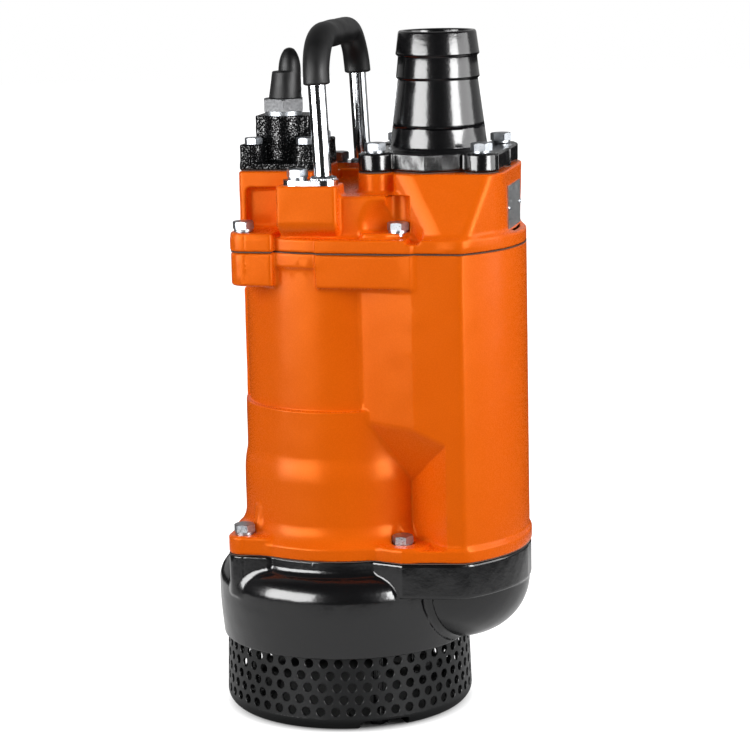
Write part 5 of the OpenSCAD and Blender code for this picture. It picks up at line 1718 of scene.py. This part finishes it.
@dataclass
class Stage:
    """Pale floor, white surround, soft studio lamps and the camera. The floor's fades are in metres."""

    turn: float = 13.205
    rise: float = 10.505
    roll: float = -1.258
    target: Point = (30.7, 7.2, 325.9)
    distance: float = 2559.8
    lens: float = 125.0
    ambient: float = 0.45
    # In mirrors the surround turns from dark in front to pale behind: its start and end, and its strengths
    mirror_depth: Pair = (-0.2, 0.6)
    mirror_glow: Pair = (0.015, 0.4)
    floor_z: float = -0.4
    floor_r: float = 9000.0
    # Each fade's start and end, away from the shaft's axis, and its first and last strength
    # Painted shade: the contact and shadow fades lower the floor's glow under and round the pump
    contact_shade: Box = (0.105, 0.125, 0.0, 0.86)
    shadow: Box = (0.13, 0.45, 0.0, 0.14)
    # Painted shade in mirrors: the clear fade takes the mirrored sheet away under the pump
    clear: Box = (0.11, 0.16, 0.0, 1.0)
    sheet: Box = (0.6, 0.82, 0.75, 0.01)
    lamps: tuple[Lamp, ...] = (
        Lamp("strip_left", -53, 0.82, (1.95, 1.4), 118, True),
        Lamp("strip_right", 47, 0.82, (0.88, 1.4), 80, True),
        Lamp("strip_far_right", 78, 0.82, (1.6, 1.4), 32, True),
        Lamp("soft_left", -70, 1.3, (1.6, 1.6), 34, False),
        Lamp("soft_right", 58, 1.3, (1.6, 1.6), 41, False),
    )

    def floor(self) -> None:
        """Builds the floor: white where the camera sees it, grey in shadow, with painted shade where its glow
        drops round and under the pump, and a white sheet in mirrors that painted shade takes away under the
        pump.
        """
        rings = [(1.0, self.floor_z), (self.floor_r, self.floor_z)]
        made = turned("floor", rings, (0, 0), sides=96, closed=False)
        made.data.flip_normals()
        material, tree, coords = blank("pale_floor")
        seen = add(tree, "ShaderNodeLightPath").outputs
        away = add(tree, "ShaderNodeVectorMath", {0: coords}, operation="LENGTH").outputs["Value"]
        grey = add(tree, "ShaderNodeMapRange", {"Value": seen["Is Glossy Ray"], "To Min": 0.5, "To Max": 0.0})
        contact_shade, shadow, clear, sheet = (
            add(tree, "ShaderNodeMapRange", {"Value": away, "From Min": start, "From Max": end,
                                             "To Min": first, "To Max": last},
                interpolation_type=kind).outputs["Result"]
            for (start, end, first, last), kind in ((self.contact_shade, "LINEAR"), (self.shadow, "LINEAR"),
                                                    (self.clear, "LINEAR"), (self.sheet, "SMOOTHSTEP")))
        # Painted shade: the glow that the camera sees drops under and round the pump
        white = add(tree, "ShaderNodeMath", {0: contact_shade, 1: shadow}, operation="ADD").outputs[0]
        plain = add(tree, "ShaderNodeMath", {0: seen["Is Camera Ray"], 1: seen["Is Transmission Ray"]},
                    operation="MAXIMUM").outputs[0]
        shown = add(tree, "ShaderNodeMath", {0: plain, 1: white}, operation="MULTIPLY").outputs[0]
        # Painted shade in mirrors: the sheet fades out under the pump
        bounced = add(tree, "ShaderNodeMath", {0: sheet, 1: clear}, operation="MULTIPLY").outputs[0]
        glow = add(tree, "ShaderNodeMath", {0: seen["Is Glossy Ray"], 1: bounced, 2: shown},
                   operation="MULTIPLY_ADD").outputs[0]
        shaded(tree, {"Base Color": grey.outputs["Result"], "Roughness": 0.9, "Specular IOR Level": 0.0,
                      "Emission Color": (1, 1, 1, 1), "Emission Strength": glow})
        made.data.materials.append(material)

    def world(self) -> None:
        """Lights the scene evenly, is white where it is seen and dark in front where it is mirrored."""
        world = bpy.data.worlds.new("studio")
        bpy.context.scene.world = world
        world.use_nodes = True
        tree = world.node_tree
        tree.nodes.clear()
        seen = add(tree, "ShaderNodeLightPath").outputs
        coords = add(tree, "ShaderNodeTexCoord").outputs["Generated"]
        depth = add(tree, "ShaderNodeSeparateXYZ", {"Vector": coords}).outputs["Y"]
        (start, end), (dark, pale) = self.mirror_depth, self.mirror_glow
        behind = add(tree, "ShaderNodeMapRange", {"Value": depth, "From Min": start, "From Max": end,
                                                  "To Min": dark, "To Max": pale},
                     interpolation_type="SMOOTHSTEP")
        plain = add(tree, "ShaderNodeMath", {0: seen["Is Camera Ray"], 1: seen["Is Transmission Ray"]},
                    operation="MAXIMUM").outputs[0]
        mirrored = add(tree, "ShaderNodeMix", {"Factor": seen["Is Glossy Ray"], "A": self.ambient,
                                               "B": behind.outputs["Result"]}, data_type="FLOAT")
        strength = add(tree, "ShaderNodeMix", {"Factor": plain, "A": mirrored.outputs["Result"], "B": 1.0},
                       data_type="FLOAT").outputs["Result"]
        back = add(tree, "ShaderNodeBackground", {"Color": (1, 1, 1, 1), "Strength": strength})
        add(tree, "ShaderNodeOutputWorld", {"Surface": back.outputs["Background"]})

    def camera(self) -> None:
        """Adds the camera."""
        a, e, roll = (math.radians(v) for v in (self.turn, self.rise, self.roll))
        back = Vector((math.sin(a) * math.cos(e), -math.cos(a) * math.cos(e), math.sin(e)))
        right = Vector((math.cos(a), math.sin(a), 0))
        up = back.cross(right)
        across = right * math.cos(roll) + up * math.sin(roll)
        upward = up * math.cos(roll) - right * math.sin(roll)
        data = bpy.data.cameras.new("camera")
        data.lens = self.lens
        data.sensor_width = 36.0
        data.clip_end = 100.0
        made = bpy.data.objects.new("camera", data)
        place = Vector(self.target) * MM + back * (self.distance * MM)
        turn = Matrix((across, upward, back)).transposed().to_4x4()
        made.matrix_world = Matrix.Translation(place) @ turn
        bpy.context.scene.collection.objects.link(made)
        bpy.context.scene.camera = made

    def build(self) -> None:
        """Builds the whole stage."""
        bpy.context.scene.view_settings.view_transform = "Standard"
        self.floor()
        self.world()
        for lamp in self.lamps:
            lamp.build(self.turn)
        self.camera()
        log.info("stage: floor, surround, %d lamps and the camera", len(self.lamps))


def main() -> None:
    """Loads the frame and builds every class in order."""
    logging.basicConfig(level=logging.INFO, format="%(message)s")
    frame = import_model()
    Stage().build()
    FrameParts().build(frame["nodes"])
    for assembly in (MotorCasing(), HeadCover(), Volute(), HoseTail(), CableHousing(), Basket(), Handle(),
                     CableBoot()):
        assembly.build()


if __name__ == "__main__":
    main()
